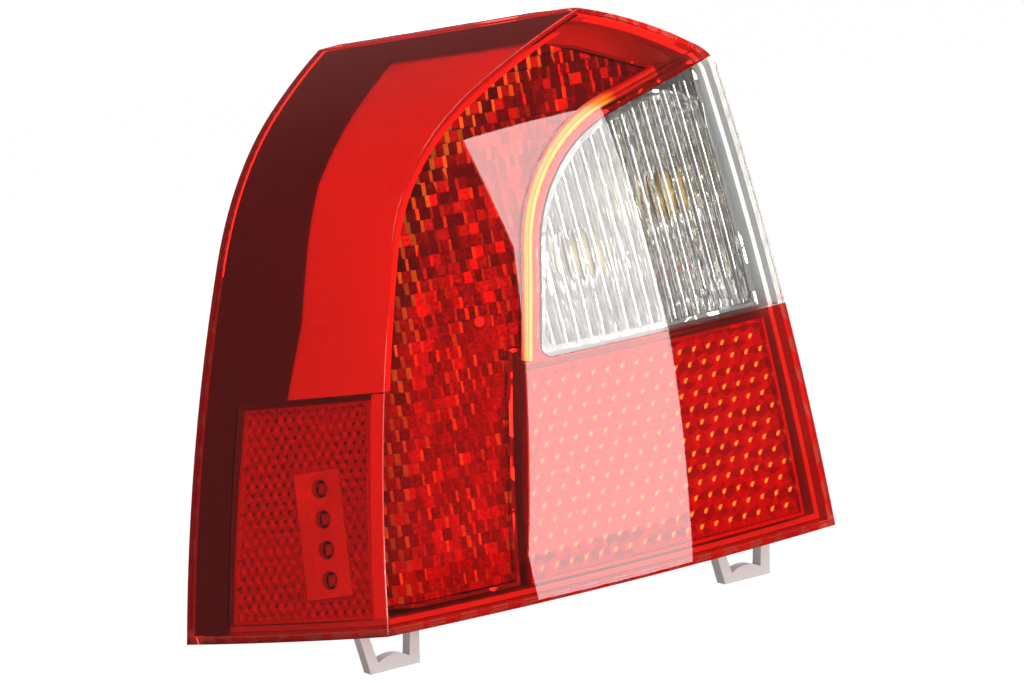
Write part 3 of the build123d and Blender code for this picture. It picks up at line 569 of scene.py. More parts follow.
class Palette(Enum):
    """Finishes of the lamp and of the studio."""

    RED_LENS = LensPlastic("red_acrylic", (0.93, 0.10, 0.07), turns=1.5)
    CLEAR_LENS = LensPlastic("clear_acrylic", (0.98, 0.975, 0.96))
    BULB_GLASS = LensPlastic("bulb_glass", (0.97, 0.975, 0.97), 0.006)
    AMBER_GLASS = LensPlastic("amber_glass", (0.99, 0.92, 0.76), 0.006)
    MIRROR = Metallised("metallised_bowl")
    BRIGHT_MIRROR = Metallised(
        "bright_bowl", (0.7, 0.7, 0.69), 0.06, metallic=0.94, grain=0.010, depth=0.0025, strength=1.0
    )
    BRICKS = PrismPlastic(
        "brick_prisms",
        (
            (0.0, (0.13, 0.02, 0.02)), (0.35, (0.36, 0.04, 0.03)),
            (0.7, (0.66, 0.09, 0.06)), (1.0, (1.0, 0.3, 0.15)),
        ),
        painted_spot=(1.0, 0.5, 0.2),
        painted_glow=(0.55, 1.4, 0.15),
        mottle=0.8,
    )
    # painted light: amber spots of painted glow where the corners send light back, and painted shade levels
    # on the three faces
    REAR_CELLS = ReflexPlastic(
        "rear_reflex_cells",
        ((0.0, (0.3, 0.03, 0.03)), (0.5, (0.46, 0.05, 0.04)), (1.0, (0.58, 0.08, 0.06))),
        painted_spot=(1.0, 0.7, 0.3),
        painted_glow=(1.1, 3.1, 0.6),
        rough=0.16,
        metallic=0.15,
    )
    # painted shade: dark dots at the middles of the corners, shown in patches, and painted shade levels on
    # the three faces
    SIDE_CELLS = ReflexPlastic(
        "side_reflex_cells",
        ((0.0, (0.4, 0.06, 0.05)), (0.5, (0.47, 0.08, 0.06)), (1.0, (0.54, 0.1, 0.08))),
        painted_spot=(0.06, 0.015, 0.015),
        painted_glow=BLACK,
        patch=0.035,
        rough=0.3,
        metallic=0.0,
        coat=0.1,
        half=(0.0007, 0.0008),
        lean=0.0,
    )
    # painted glow along the edge of the window
    LIP = PaintedLipGlow(
        "lip_glow",
        (
            (0.0, (0.45, 0.02, 0.01)), (0.09, (0.95, 0.32, 0.02)), (0.2, (1.0, 0.5, 0.02)),
            (0.3, (0.95, 0.36, 0.01)), (0.35, (0.75, 0.08, 0.0)), (0.42, (1.0, 0.29, 0.005)),
            (0.66, (1.0, 0.27, 0.005)), (0.72, (0.8, 0.03, 0.0)), (0.84, (0.95, 0.08, 0.02)),
            (1.0, (0.6, 0.0, 0.0)),
        ),
        (
            (0.0, (0.3, 0.01, 0.01)), (0.15, (0.65, 0.02, 0.01)), (0.35, (0.35, 0.0, 0.0)),
            (0.5, (0.72, 0.03, 0.015)), (0.8, (0.5, 0.0, 0.0)), (1.0, (0.4, 0.0, 0.0)),
        ),
    )
    DARK = Moulding("dark_bezel_plastic", (0.052, 0.05, 0.06), 0.35, cloud=0.06)
    PANEL = Moulding("bright_panel_plastic", (0.74, 0.56, 0.54), 0.3, cloud=0.09, tones=(0.95, 1.05))
    MARKER = Moulding("marker_plastic", (0.66, 0.52, 0.5), 0.25)
    BOARD = Moulding("board_laminate", (0.03, 0.14, 0.06), 0.4)
    DIODE = Moulding("diode_body", (0.4, 0.34, 0.3), 0.2, coat=0.5)
    GREY = Moulding("grey_housing_plastic", (0.70, 0.745, 0.73), 0.5, tones=(0.96, 1.04))
    HOLDER = Moulding("holder_plastic", (0.42, 0.42, 0.41), 0.5)
    RUBBER = Moulding("seal_rubber", (0.022, 0.022, 0.023), 0.75, grain=0.0005)
    FOAM = Moulding("seal_foam", (0.05, 0.05, 0.052), 0.95, grain=0.0014, depth=0.0003)
    ZINC = PlatedMetal("zinc_plate", (0.66, 0.66, 0.64), 0.32)
    BRASS = PlatedMetal("tinned_brass", (0.78, 0.68, 0.45), 0.3)
    SEALANT = Moulding("joint_sealant", (0.66, 0.64, 0.62), 0.6)
    PEG = Moulding("peg_metal", (0.85, 0.85, 0.85), 0.25, coat=0.4)
    FLOOR = PaleFloor("pale_floor")
    CLOTH = LitCloth("softbox_cloth")


Choices = tuple[tuple[str, Palette], ...]


@dataclass(frozen=True)
class Arc:
    """Circular profile turned about an upright axis: radius, centre's reach and height, first angle."""

    bend: float
    reach: float
    height: float
    start: float = -math.pi


@dataclass(frozen=True)
class TurnedFace:
    """Face turned about an upright axis from tangent arcs, one above the other."""

    axis: Pair
    arcs: tuple[Arc, ...]

    def radius(self, z: Array, inset: float) -> Array:
        """Radius of the first arc set in by inset: reach and the root of bend squared less rise squared."""
        arc = self.arcs[0]
        return arc.reach + np.sqrt((arc.bend - inset) ** 2 - (z - arc.height) ** 2)

    def normals(self, points: Array) -> Array:
        """Outward normal of the face, or of any face parallel to it, nearest to some points.

        In the plane through the axis the normal points from the centre of the arc to the point, so it
        is (r - reach, z - height) made one long, with r the distance from the axis.

        Args:
            points: (n, 3) places.

        Returns:
            (n, 3) unit normals.
        """
        flat = points[:, :2] - np.array(self.axis)
        radius = np.linalg.norm(flat, axis=1)
        away = np.zeros((2, len(points)))
        for arc in self.arcs:
            here = np.array([radius - arc.reach, points[:, 2] - arc.height])
            away = np.where(np.arctan2(here[1], here[0]) > arc.start, here, away)
        across, rise = away / np.hypot(*away)
        return np.column_stack((flat * (across / radius)[:, None], rise))


@dataclass(frozen=True)
class LensForm:
    """The two faces of the lens."""

    corner: Triple = (-0.108, -0.092, -0.100)
    width: float = 0.237
    face_angle: float = math.radians(125)
    rear_crown: float = 0.684
    rear_lean: float = math.radians(3.4)
    rear_arc: float = 0.950
    side_crown: float = 0.600
    side_mid: float = 0.050
    side_lean: Triple = (math.radians(6.7), math.radians(22.7), math.radians(57.4))
    side_arcs: Triple = (0.637, 0.1376, 0.338)
    search: float = 0.06
    search_steps: int = 601

    def rear(self) -> TurnedFace:
        """The rear face, one arc tall.

        Returns:
            The face.
        """
        x, y, z = self.corner
        half = self.width / 2
        sink = math.sqrt(self.rear_crown**2 - half**2)
        reach = self.rear_crown - self.rear_arc * math.cos(self.rear_lean)
        height = z - self.rear_arc * math.sin(self.rear_lean)
        return TurnedFace((x + half, y + sink), (Arc(self.rear_arc, reach, height),))

    def side(self) -> TurnedFace:
        """The side face, three tangent arcs tall.

        Returns:
            The face.
        """
        x, y, z = self.corner
        sink = math.sqrt(self.side_crown**2 - self.side_mid**2)
        cosine, sine = math.cos(self.face_angle), math.sin(self.face_angle)
        axis = (x + cosine * self.side_mid + sine * sink, y + sine * self.side_mid - cosine * sink)
        first, second, third = self.side_lean
        low, middle, top = self.side_arcs
        reach = self.side_crown - low * math.cos(first)
        height = z - low * math.sin(first)
        arcs = [Arc(low, reach, height)]
        for angle, bend in ((second, middle), (third, top)):
            reach += (arcs[-1].bend - bend) * math.cos(angle)
            height += (arcs[-1].bend - bend) * math.sin(angle)
            arcs.append(Arc(bend, reach, height, angle))
        return TurnedFace(axis, tuple(arcs))

    def rear_depth(self, x: Array, z: Array, inset: float) -> Array:
        """Depth along +Y of the rear face set in by inset: axis less the turned radius."""
        face = self.rear()
        return face.axis[1] - np.sqrt(face.radius(z, inset) ** 2 - (x - face.axis[0]) ** 2)

    def corner_bearing(self, z: Array, inset: float) -> Array:
        """Bearing about the side's axis at which both faces, set in by inset, meet.

        Along the rear face the distance from the axis falls with x, and it equals the side's radius there.

        Args:
            z: (n,) heights.
            inset: distance inside both faces.

        Returns:
            (n,) bearings in radians.
        """
        side = self.side()
        x, height = np.meshgrid(self.corner[0] + np.linspace(0.0, self.search, self.search_steps), z)
        flat_x = x - side.axis[0]
        flat_y = self.rear_depth(x, height, inset) - side.axis[1]
        first = np.argmax(np.hypot(flat_x, flat_y) < side.radius(height, inset), axis=1)
        row = np.arange(len(z))
        return np.arctan2(flat_y[row, first], flat_x[row, first])


def unit(vector: Array) -> Array:
    """A vector made one long."""
    return vector / np.linalg.norm(vector)


def pose(*columns: Array) -> Matrix:
    """Placement of an object from its x, y and z axes and its place."""
    return Matrix((*np.column_stack(columns).tolist(), (0.0, 0.0, 0.0, 1.0)))


def link(name: str, data: bpy.types.ID) -> Item:
    """Make an object of a mesh, a light or a camera and add it to the scene."""
    bpy.context.scene.collection.objects.link(made := bpy.data.objects.new(name, data))
    return made


def make_piece(
    name: str, points: Array, polygons: Array, finish: Palette, crisp: Optional[float] = None
) -> Item:
    """Put arrays of points and polygons into a new piece.

    Args:
        name: name of the piece.
        points: (n, 3) places.
        polygons: (m, k) corner indices.
        finish: finish of the piece.
        crisp: degrees from which the edge between two faces is sharp; without it all edges are smooth.

    Returns:
        The new object, at the origin.
    """
    mesh = bpy.data.meshes.new(name)
    count, corners = polygons.shape
    mesh.vertices.add(len(points))
    mesh.vertices.foreach_set("co", np.ascontiguousarray(points, dtype=np.float32).ravel())
    mesh.loops.add(count * corners)
    mesh.loops.foreach_set("vertex_index", np.ascontiguousarray(polygons, dtype=np.int32).ravel())
    mesh.polygons.add(count)
    mesh.polygons.foreach_set("loop_start", np.arange(0, count * corners, corners, dtype=np.int32))
    mesh.polygons.foreach_set("use_smooth", np.ones(count, dtype=bool))
    mesh.update(calc_edges=True)
    mesh.validate()
    mesh.materials.append(finish.value.material())
    if crisp is not None:
        mesh.set_sharp_from_angle(angle=math.radians(crisp))
    return link(name, mesh)


def tag(piece: Item, domain: str, **layers: Array) -> None:
    """Store numbers for the finish to read.

    Args:
        piece: the piece.
        domain: what each number belongs to: FACE, POINT or CORNER.
        layers: the numbers of each attribute, under its name.
    """
    for name, values in layers.items():
        layer = piece.data.attributes.new(name, "FLOAT", domain)
        layer.data.foreach_set("value", np.ascontiguousarray(values, dtype=np.float32))


def grid_faces(rows: int, columns: int, round_columns: bool = False) -> Array:
    """Quads of a grid of points stored row by row.

    Args:
        rows: points along the first parameter.
        columns: points along the second parameter.
        round_columns: whether the last column joins the first.

    Returns:
        (m, 4) corner indices.
    """
    index = np.arange(rows * columns).reshape(rows, columns)
    if round_columns:
        index = np.hstack((index, index[:, :1]))
    low, high = index[:-1], index[1:]
    return np.stack((low[:, :-1], low[:, 1:], high[:, 1:], high[:, :-1]), axis=-1).reshape(-1, 4)


def attach(piece: Item, slot: str, *nodes: str) -> None:
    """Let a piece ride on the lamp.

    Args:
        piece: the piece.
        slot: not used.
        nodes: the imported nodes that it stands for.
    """
    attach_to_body(piece, "root")
    if nodes:
        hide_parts(*nodes)
    LOG.info("piece %s: %d faces", piece.name, len(piece.data.polygons))


def groups(keys: Array) -> Array:
    """Number the rows of a (n, k) array so that rows that round to the same whole numbers share one."""
    _, number = np.unique(np.round(keys).astype(np.int64), axis=0, return_inverse=True)
    return number.reshape(-1)


def scatter(keys: Array) -> Array:
    """Repeatable numbers from 0 to 1 for integer keys: the fraction of a large sine of each."""
    step, shift, size = SCATTER
    return np.modf(np.abs(np.sin(keys * step + shift) * size))[0]


@dataclass
class SolidCopy:
    """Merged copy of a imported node's triangles, for finishes that need smooth or tagged faces."""

    node: str
    points: Array = field(init=False)
    triangles: Array = field(init=False)

    def __post_init__(self) -> None:
        """Read the node's triangles, merge their shared corners and drop those without area."""
        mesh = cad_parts[self.node].data
        raw = np.empty(len(mesh.vertices) * 3)
        mesh.vertices.foreach_get("co", raw)
        raw = raw.reshape(-1, 3)
        mesh.calc_loop_triangles()
        index = np.empty(len(mesh.loop_triangles) * 3, dtype=np.int32)
        mesh.loop_triangles.foreach_get("vertices", index)
        keys = np.round(raw * MERGE_KEYS).astype(np.int64)
        _, first, inverse = np.unique(keys, axis=0, return_index=True, return_inverse=True)
        self.points = raw[first]
        corners = inverse.reshape(-1)[index].reshape(-1, 3)
        self.triangles = corners[(corners != np.roll(corners, -1, axis=1)).all(axis=1)]

    def centres(self) -> Array:
        """Middle of each triangle."""
        return self.points[self.triangles].mean(axis=1)

    def crosses(self) -> Array:
        """Cross product of two sides of each triangle: its normal, twice its area long."""
        a, b, c = (self.points[self.triangles[:, k]] for k in range(3))
        return np.cross(b - a, c - a)

    def normals(self) -> Array:
        """Unit normal of each triangle."""
        cross = self.crosses()
        return cross / np.maximum(np.linalg.norm(cross, axis=1), TINY)[:, None]

    def piece(self, name: str, finish: Palette, crisp: float = 32.0) -> Item:
        """Make the copy a piece that is smooth except across crisp edges."""
        return make_piece(name, self.points, self.triangles, finish, crisp)


@dataclass
class Lens:
    """Red lens, clear window, the painted glow along the edge of the window's hidden lip and the panel's leg.
    """

    form: LensForm = LensForm()
    near: float = math.cos(math.radians(7.0))
    leg_z: Pair = (0.0075, 0.1065)
    leg_inset: Pair = (0.0031, 0.0039)
    leg_across: Pair = (0.0004, 0.0062)
    leg_rows: int = 40
    leg_crisp: float = 30.0
    lip_lift: float = 0.00004
    lip_start: float = 0.0042
    lip_end: float = 0.0105
    lip_drop: float = 0.0012
    lip_run: float = 0.034
    lip_rows: int = 15
    lip_count: int = 24
    window_left: float = 0.0985
    window_bottom: float = 0.108
    window_top: Pair = (0.166, 0.2113)
    window_lean: float = math.radians(15)
    window_round: float = 0.077

    def build(self) -> None:
        """Make and attach the pieces."""
        attach(self.polished("red_lens", Palette.RED_LENS, False), "red_lens", "red_lens")
        attach(self.polished("clear_lens", Palette.CLEAR_LENS, True), "clear_lens", "clear_lens")
        attach(self.lip(), "red_lens")
        attach(self.leg(), "side_panel")

    def leg(self) -> Item:
        """Narrow leg of the bright panel inside the side face, down the corner beside the reflex.

        Each level is a rectangle between two bearings and two insets; the levels are joined upwards.

        Returns:
            The piece.
        """
        z = np.linspace(*self.leg_z, self.leg_rows) + self.form.corner[2]
        bearing = self.form.corner_bearing(z, self.leg_inset[0])
        side = self.form.side()
        rings = []
        for inset, across in zip(np.repeat(self.leg_inset, 2), (*self.leg_across, *self.leg_across[::-1])):
            radius = side.radius(z, inset)
            turn = bearing - across / radius
            x, y = side.axis[0] + radius * np.cos(turn), side.axis[1] + radius * np.sin(turn)
            rings.append(np.column_stack((x, y, z)))
        points = np.stack(rings, axis=1).reshape(-1, 3)
        foot = np.arange(4)
        caps = np.vstack((foot[::-1], len(points) - 4 + foot))
        faces = np.vstack((grid_faces(len(z), 4, True), caps))
        return make_piece("panel_leg", points, faces, Palette.PANEL, self.leg_crisp)

    def polished(self, node: str, finish: Palette, fluted: bool) -> Item:
        """Copy a lens node and give its two curved faces their true normals.

        Args:
            node: name of the node.
            finish: finish of the piece.
            fluted: whether the inner side has flutes, which keep their own normals.

        Returns:
            The piece.
        """
        copy = SolidCopy(node)
        made = copy.piece(node + "_skin", finish)
        shown = np.empty(len(made.data.loops) * 3)
        made.data.corner_normals.foreach_get("vector", shown)
        shown = shown.reshape(-1, 3)
        flat = copy.normals()
        centres = copy.centres()
        corner_points = copy.points[copy.triangles.ravel()]
        for face in (self.form.rear(), self.form.side()):
            turn = np.einsum("ij,ij->i", flat, face.normals(centres))
            match = np.repeat((turn if fluted else np.abs(turn)) > self.near, 3)
            sign = np.repeat(np.sign(turn), 3)[:, None]
            shown = np.where(match[:, None], face.normals(corner_points) * sign, shown)
        made.data.normals_split_custom_set(shown.tolist())
        return made

    def outline(self, grow: float, count: int) -> Array:
        """Left side and rounded top of the window in the rear view, grown by an amount.

        The two straight sides are lines offset outwards; the corner is the arc tangent to both. A place
        is a complex number, across and up.

        Args:
            grow: distance outside the window.
            count: points on each of the three stretches.

        Returns:
            (3 * count - 2,) places from the lower left to the upper right.
        """
        side, roof = np.exp(1j * np.array([math.pi / 2 - self.window_lean, self.window_lean]))
        foot = complex(self.window_left, self.window_bottom) + 1j * side * grow
        ridge = complex(*self.window_top) + 1j * roof * grow
        peak = foot + side * ((ridge - foot) / roof).imag / (side / roof).imag
        radius = self.window_round + grow
        reach = radius / math.tan(np.angle(-roof / side) / 2)
        start, end = peak - side * reach, peak + roof * reach
        centre = start - 1j * side * radius
        angles = np.linspace(np.angle(start - centre), np.angle(end - centre), count)
        rise = np.linspace(foot - side * self.lip_drop, start, count)
        last = np.linspace(end, end + roof * self.lip_run, count)
        return np.concatenate((rise[:-1], centre + radius * np.exp(1j * angles), last[1:]))

    def lip(self) -> Item:
        """Strip with a painted glow just over the red lens along the window: its outline grown step by step,
        on the rear face.

        Returns:
            The piece.
        """
        steps = np.linspace(0.0, 1.0, self.lip_rows)
        reach = self.lip_start + (self.lip_end - self.lip_start) * steps
        rows = np.stack([self.outline(grow, self.lip_count) for grow in reach])
        count = rows.shape[1]
        x, z = rows.real.ravel() + self.form.corner[0], rows.imag.ravel() + self.form.corner[2]
        points = np.column_stack((x, self.form.rear_depth(x, z, -self.lip_lift), z))
        faces = grid_faces(len(steps), count)[:, ::-1]
        made = make_piece("lip_glow", points, faces, Palette.LIP)
        along = np.tile(np.linspace(0.0, 1.0, count), len(steps))
        tag(made, "POINT", across=np.repeat(steps, count), along=along)
        return made


@dataclass
class Optics:
    """Brick optic and reflex inserts, with a painted light and shade level for each facet."""

    form: LensForm = LensForm()
    brick: float = 0.0053
    brick_foot: float = 0.0039
    # painted shade of the bricks and painted highlight of the narrow strips: base and random gain
    brick_painted_shade: Pair = (0.08, 0.55)
    strip: float = 0.0023
    strip_painted_highlight: Pair = (0.3, 0.5)
    # painted glints on the strips and painted glow in the column along the corner
    strip_painted_glint: float = 0.22
    column: float = 0.012
    column_painted_glow: Pair = (0.35, 0.65)
    left_x: tuple[float, ...] = (0.004, 0.018, 0.0425, 0.0575, 0.081, 0.1105, 0.144)
    left_z: tuple[float, ...] = (0.0092, 0.086, 0.164, 0.193, 0.216, 0.235, 0.2508)
    # painted glow growing and painted shade darkening towards the top, by height
    painted_glow_z: Triple = (0.09, 0.18, 0.22)
    painted_glow_share: Triple = (0.3, 0.7, 1.0)
    painted_shade_z: Triple = (0.03, 0.12, 0.2)
    painted_shade_level: Triple = (0.16, 0.08, -0.32)
    plate: float = 0.002
    slack: float = 0.0001
    facet_keys: float = 200.0
    offset_keys: float = 2e4
    plate_keys: float = 500.0
    crisp: float = 1.0

    def build(self) -> None:
        """Make and attach the pieces."""
        attach(self.bricks(), "brick_optic", "brick_optic")
        attach(self.cells("rear_reflex", Palette.REAR_CELLS), "rear_reflex", "rear_reflex")
        attach(self.cells("side_reflex", Palette.SIDE_CELLS), "side_reflex", "side_reflex")

    def bricks(self) -> Item:
        """Brick optic with one painted light and shade level for every flat facet.

        Narrow strips get a painted highlight, brighter than bricks, those in the column along the corner a
        painted glow, and all levels a painted shade that darkens towards the top.

        Returns:
            The piece.
        """
        copy = SolidCopy("brick_optic")
        centres = copy.centres()
        x, _, z = (centres - np.array(self.form.corner)).T
        flat = copy.normals()
        row = np.floor((z - self.brick_foot) / self.brick)
        offset = np.einsum("ij,ij->i", flat, centres)
        group = groups(np.column_stack((row, flat * self.facet_keys, offset * self.offset_keys)))
        reach = copy.points[copy.triangles][..., 0]
        low = np.full(group.max() + 1, np.inf)
        high = -low
        np.minimum.at(low, group, reach.min(axis=1))
        np.maximum.at(high, group, reach.max(axis=1))
        narrow = (high - low)[group] < self.strip
        chance = scatter(group.astype(float))
        run = np.gradient(np.array(self.left_x), np.array(self.left_z))
        slant = np.sqrt(1 + np.interp(z, self.left_z, run) ** 2)
        edge = x < np.interp(z, self.left_z, self.left_x) + self.column * slant
        base, gain = np.where(narrow[:, None], self.strip_painted_highlight, self.brick_painted_shade).T
        # painted light: each facet's level is a painted highlight, random painted glint or painted shade
        # darker towards the top
        level = base + gain * chance**2 + np.interp(z, self.painted_shade_z, self.painted_shade_level)
        painted_glint = np.where(narrow, self.strip_painted_glint * chance**4, 0.0)
        least, more = self.column_painted_glow
        # painted glow in the column along the corner, stronger towards the top
        painted_glow = (least + more * chance) * np.interp(z, self.painted_glow_z, self.painted_glow_share)
        made = copy.piece("brick_prisms", Palette.BRICKS, self.crisp)
        tag(made, "FACE", painted_facet_shading=level, painted_glint=np.where(narrow & edge, painted_glow, painted_glint))
        return made

    def cells(self, node: str, finish: Palette) -> Item:
        """Reflex insert: the three faces of each cube corner get three levels of painted shade, and each
        corner its place.

        The plate's back is its largest flat face, so its normal gives the axis of the corners. The foot
        of each corner lies one plate thickness in front of the back, and a place in a cell is measured
        along the plate from the foot nearest to the middle of its face.

        Args:
            node: name of the node.
            finish: finish of the piece.

        Returns:
            The piece.
        """
        copy = SolidCopy(node)
        flat = copy.normals()
        group = groups(flat * self.plate_keys)
        area = np.linalg.norm(copy.crosses(), axis=1)
        back = group == np.argmax(np.bincount(group, weights=area))
        axis = unit(-flat[back].mean(axis=0))
        across = unit(np.cross(UP, axis))
        upward = np.cross(axis, across)
        bearing = np.arctan2(flat @ upward, flat @ across)
        face = np.mod(np.round((bearing - math.pi / 2) / (2 * math.pi / 3)), 3).astype(int)
        height = copy.points @ axis
        floor = height[copy.triangles[back][:, 0]].mean()
        plane = np.column_stack((copy.points @ across, copy.points @ upward))
        feet = plane[np.abs(height - floor - self.plate) < self.slack]
        corners = plane[copy.triangles]
        away = np.linalg.norm(corners.mean(axis=1)[:, None] - feet[None], axis=2)
        offset = (corners - feet[np.argmin(away, axis=1)][:, None]).reshape(-1, 2)
        made = copy.piece(node + "_cells", finish, self.crisp)
        # painted shade: one level for each of the three faces, by the way it faces
        tag(made, "FACE", painted_facet_shading=face / 2)
        tag(made, "CORNER", cell_across=offset[:, 0], cell_up=offset[:, 1])
        return made


@dataclass
class Fixings:
    """Mounting studs with rolled threads in place of the plain ends of the rods."""

    node: str = "mounting_studs"
    spots: Pair = (-0.075, 0.075)
    radius: float = 0.003
    depth: float = 0.00055
    pitch: float = 0.001
    start: float = -0.0004
    reach: float = 0.024
    tip: float = 0.0012
    tip_share: float = 0.72
    cut: float = 0.0001
    crisp: float = 40.0
    around: int = 40
    steps: int = 10

    def build(self) -> None:
        """Make and attach the studs, whose rods are cut off just past the seat face."""
        copy = SolidCopy(self.node)
        points, triangles = [copy.points], [copy.triangles[copy.centres()[:, 1] < self.cut]]
        for height in self.spots:
            triangles.append(self.thread_faces() + sum(map(len, points)))
            points.append(self.thread_points(height))
        stacked = np.vstack(points), np.vstack(triangles)
        attach(make_piece("stud_threads", *stacked, Palette.ZINC, self.crisp), self.node, self.node)

    def rows(self) -> Array:
        """Places along the stud at which the thread has a ring of points."""
        count = int(round((self.reach - self.start) / self.pitch)) * self.steps
        return np.linspace(self.start, self.reach, count + 1)

    def thread_points(self, height: float) -> Array:
        """Thread round one stud, with a middle point at each end.

        The radius falls and rises as a triangle wave of the place along the stud less the turn, one
        pitch to a turn, and narrows evenly over the tip.

        Args:
            height: height of the stud.

        Returns:
            (n, 3) places, ring by ring, then the two middles.
        """
        angle = np.linspace(0, 2 * math.pi, self.around, endpoint=False)
        v, u = np.meshgrid(self.rows(), angle, indexing="ij")
        wave = np.abs(2 * np.mod(v / self.pitch - u / (2 * math.pi), 1.0) - 1.0)
        taper = np.clip((self.reach - v) / self.tip, 0.0, 1.0)
        radius = (self.radius - self.depth * wave) * (self.tip_share + (1 - self.tip_share) * taper)
        rings = np.stack((radius * np.sin(u), v, height + radius * np.cos(u)), axis=-1).reshape(-1, 3)
        return np.vstack((rings, [[0.0, self.start, height], [0.0, self.reach, height]]))

    def thread_faces(self) -> Array:
        """Triangles of one thread and of the fans that close its ends.

        Returns:
            (m, 3) corner indices.
        """
        rings = len(self.rows())
        quads = grid_faces(rings, self.around, True)
        here = np.arange(self.around)
        following = (here + 1) % self.around
        last = (rings - 1) * self.around
        first_middle = np.full(self.around, rings * self.around)
        low = np.column_stack((first_middle, following, here))
        high = np.column_stack((first_middle + 1, last + here, last + following))
        return np.vstack((quads[:, [0, 1, 2]], quads[:, [0, 2, 3]], low, high))


@dataclass
class Nodes:
    """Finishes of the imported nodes, shown as they are or as smooth copies."""

    plain: Choices = (
        ("optic_rivet", Palette.PEG), ("marker_bezel", Palette.MARKER),
        ("marker_board", Palette.BOARD), ("marker_diodes", Palette.DIODE),
        ("board_screws", Palette.ZINC), ("lamp_terminals", Palette.BRASS),
        ("marker_pins", Palette.BRASS), ("holder_seals", Palette.RUBBER),
        ("stud_seals", Palette.FOAM), ("lens_seal", Palette.SEALANT),
    )
    smooth: Choices = (
        ("dark_bezel", Palette.DARK), ("side_panel", Palette.PANEL),
        ("stop_reflector", Palette.MIRROR), ("signal_reflector", Palette.BRIGHT_MIRROR),
        ("housing", Palette.GREY), ("vent_cap", Palette.RUBBER),
    )
    bulbs: Choices = (
        ("stop", Palette.BULB_GLASS), ("tail", Palette.BULB_GLASS),
        ("turn", Palette.AMBER_GLASS), ("reverse", Palette.BULB_GLASS),
    )

    def build(self) -> None:
        """Dress every node, smoothing those with curved faces."""
        for node, finish in self.plain:
            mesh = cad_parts[node].data
            mesh.materials.clear()
            mesh.materials.append(finish.value.material())
        smooth = list(self.smooth)
        for bulb, glass in self.bulbs:
            kinds = (("_bulb", glass), ("_bulb_base", Palette.BRASS), ("_holder", Palette.HOLDER))
            smooth.extend((bulb + kind, finish) for kind, finish in kinds)
        for node, finish in smooth:
            attach(SolidCopy(node).piece(node + "_skin", finish), node, node)


@dataclass(frozen=True)
class Lamp:
    """Rectangular soft light: its middle, its width and height, its watts and what it faces."""

    name: str
    place: Triple
    size: Pair
    power: float
    aim: Triple = (0.0, 0.0, 0.0)

    def build(self) -> None:
        """Add the light."""
        data = bpy.data.lights.new(self.name, "AREA")
        data.shape = "RECTANGLE"
        data.size, data.size_y = self.size
        data.energy = self.power
        back = unit(np.array(self.place) - np.array(self.aim))
        right = unit(np.cross(UP, back))
        link(self.name, data).matrix_world = pose(right, np.cross(back, right), back, self.place)


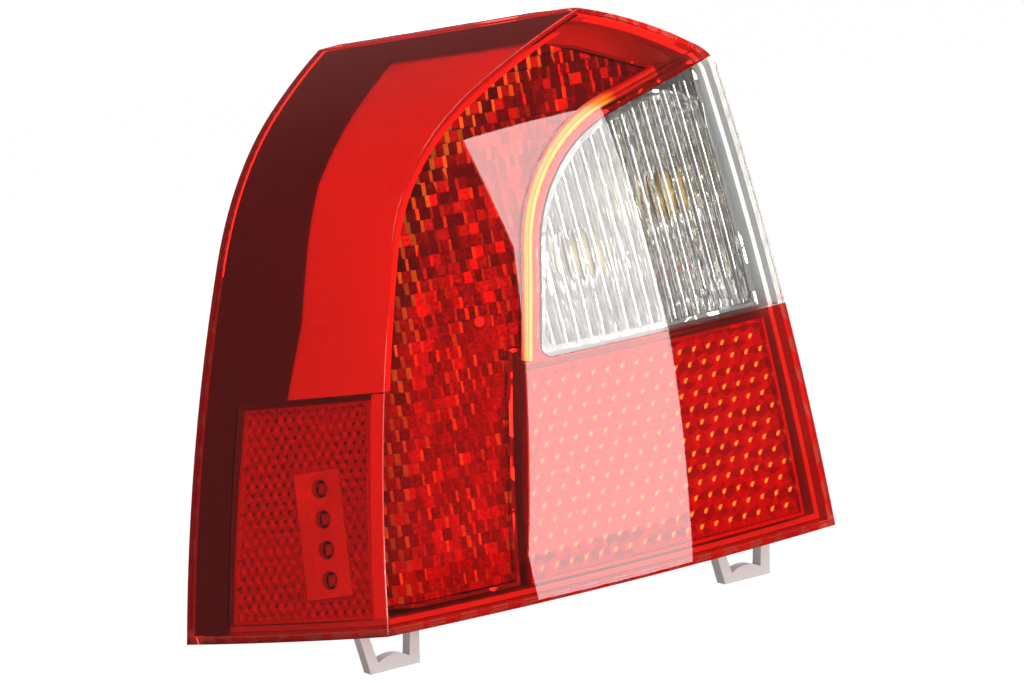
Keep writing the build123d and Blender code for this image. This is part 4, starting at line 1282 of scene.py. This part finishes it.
@dataclass
class Studio:
    """Camera, floor, soft lights and the softbox that shows in the lens."""

    azimuth: float = math.radians(-25)
    elevation: float = math.radians(7)
    roll: float = math.radians(9)
    focal_px: float = 3700.0
    px_per_metre: float = 2220.0
    anchor_px: Pair = (388.0, 637.0)
    frame_px: Pair = (1024.0, 683.0)
    anchor: Triple = LensForm.corner
    sensor: float = 36.0
    sight: float = 50.0
    floor_half: float = 6.0
    floor_drop: float = 0.0005
    surround: float = 0.16
    box: tuple[Triple, ...] = (
        (0.415, -1.733, -0.232), (0.960, -1.528, -0.230), (1.010, -1.400, 0.300), (1.004, -1.279, 0.827),
        (0.551, -1.476, 0.869), (0.620, -1.560, 0.600), (0.560, -1.650, 0.300),
    )
    sheet: tuple[Pair, ...] = ((0.055, -0.4), (0.205, -0.35), (0.97, -1.502), (0.445, -1.716))
    sheet_height: float = -0.1229
    lamps: tuple[Lamp, ...] = (
        Lamp("top_light", (0.05, -0.25, 1.4), (1.1, 0.34), 4.5),
        Lamp("left_light", (-0.95, -1.5, 0.35), (0.7, 0.9), 5.0),
        Lamp("low_fill", (-0.75, -1.7, -0.04), (0.6, 0.3), 5.0, (0.0, 0.0, -0.1)),
        Lamp("corner_light", (-1.0, -0.4, 1.1), (0.4, 0.4), 2.0, (-0.1, 0.0, 0.1)),
        Lamp("back_light", (1.3, 0.7, 1.5), (1.0, 1.0), 2.5),
        Lamp("rear_fill", (0.5, 1.9, 0.25), (1.2, 0.8), 10.0),
    )

    def camera(self) -> None:
        """Place the camera so that the lens corner falls on its pixel."""
        a, e, r = self.azimuth, self.elevation, self.roll
        back = np.array([math.sin(a) * math.cos(e), -math.cos(a) * math.cos(e), math.sin(e)])
        right = np.array([math.cos(a), math.sin(a), 0.0])
        up = np.cross(right, -back)
        across = right * math.cos(r) - up * math.sin(r)
        upward = up * math.cos(r) + right * math.sin(r)
        shift = (np.array(self.anchor_px) - np.array(self.frame_px) / 2) / self.focal_px
        ray = shift[0] * across - shift[1] * upward - back
        place = np.array(self.anchor) - ray * (self.focal_px / self.px_per_metre)
        data = bpy.data.cameras.new("camera")
        data.sensor_width = self.sensor
        data.lens = self.focal_px / self.frame_px[0] * self.sensor
        data.clip_end = self.sight
        camera = link("camera", data)
        camera.matrix_world = pose(across, upward, back, place)
        bpy.context.scene.camera = camera

    def floor(self, height: float) -> None:
        """Square floor.

        Args:
            height: where it lies.
        """
        x, y = self.floor_half * np.array([[-1, 1, 1, -1], [-1, -1, 1, 1]])
        points = np.column_stack((x, y, np.full(4, height)))
        floor = make_piece("floor", points, np.arange(4)[None], Palette.FLOOR)
        floor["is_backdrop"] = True

    def world(self) -> None:
        """Dim even surround that is white to the camera."""
        world = bpy.data.worlds.new("studio")
        bpy.context.scene.world = world
        shader = Shader(world)
        level = shader.spread(shader.shown(), self.surround, 1.0)
        shader.finish(shader.node("ShaderNodeBackground", {"Color": WHITE, "Strength": level}))

    def softbox(self) -> None:
        """Lit card that shows as the pale shape on the rear face, and a sheet below it for its foot."""
        sheet = tuple((x, y, self.sheet_height) for x, y in self.sheet)
        for name, outline in (("softbox", self.box), ("softbox_sheet", sheet)):
            card = make_piece(name, np.array(outline), np.arange(len(outline))[None], Palette.CLOTH)
            card.visible_camera = False
            card.visible_diffuse = card.visible_transmission = name == "softbox"
            card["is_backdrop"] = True

    def build(self, lowest: float) -> None:
        """Set the view, the floor, the surround and the lights.

        Args:
            lowest: height of the part's lowest point.
        """
        bpy.context.scene.view_settings.view_transform = "Standard"
        self.floor(lowest - self.floor_drop)
        self.world()
        self.softbox()
        for lamp in self.lamps:
            lamp.build()


def main() -> None:
    """Build the lamp's pieces in order and report them."""
    logging.basicConfig(level=logging.INFO, format="%(name)s: %(message)s")
    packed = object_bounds()
    studio = Studio()
    studio.camera()
    Nodes().build()
    Lens().build()
    Optics().build()
    Fixings().build()
    studio.build(packed[0][2])


if __name__ == "__main__":
    main()
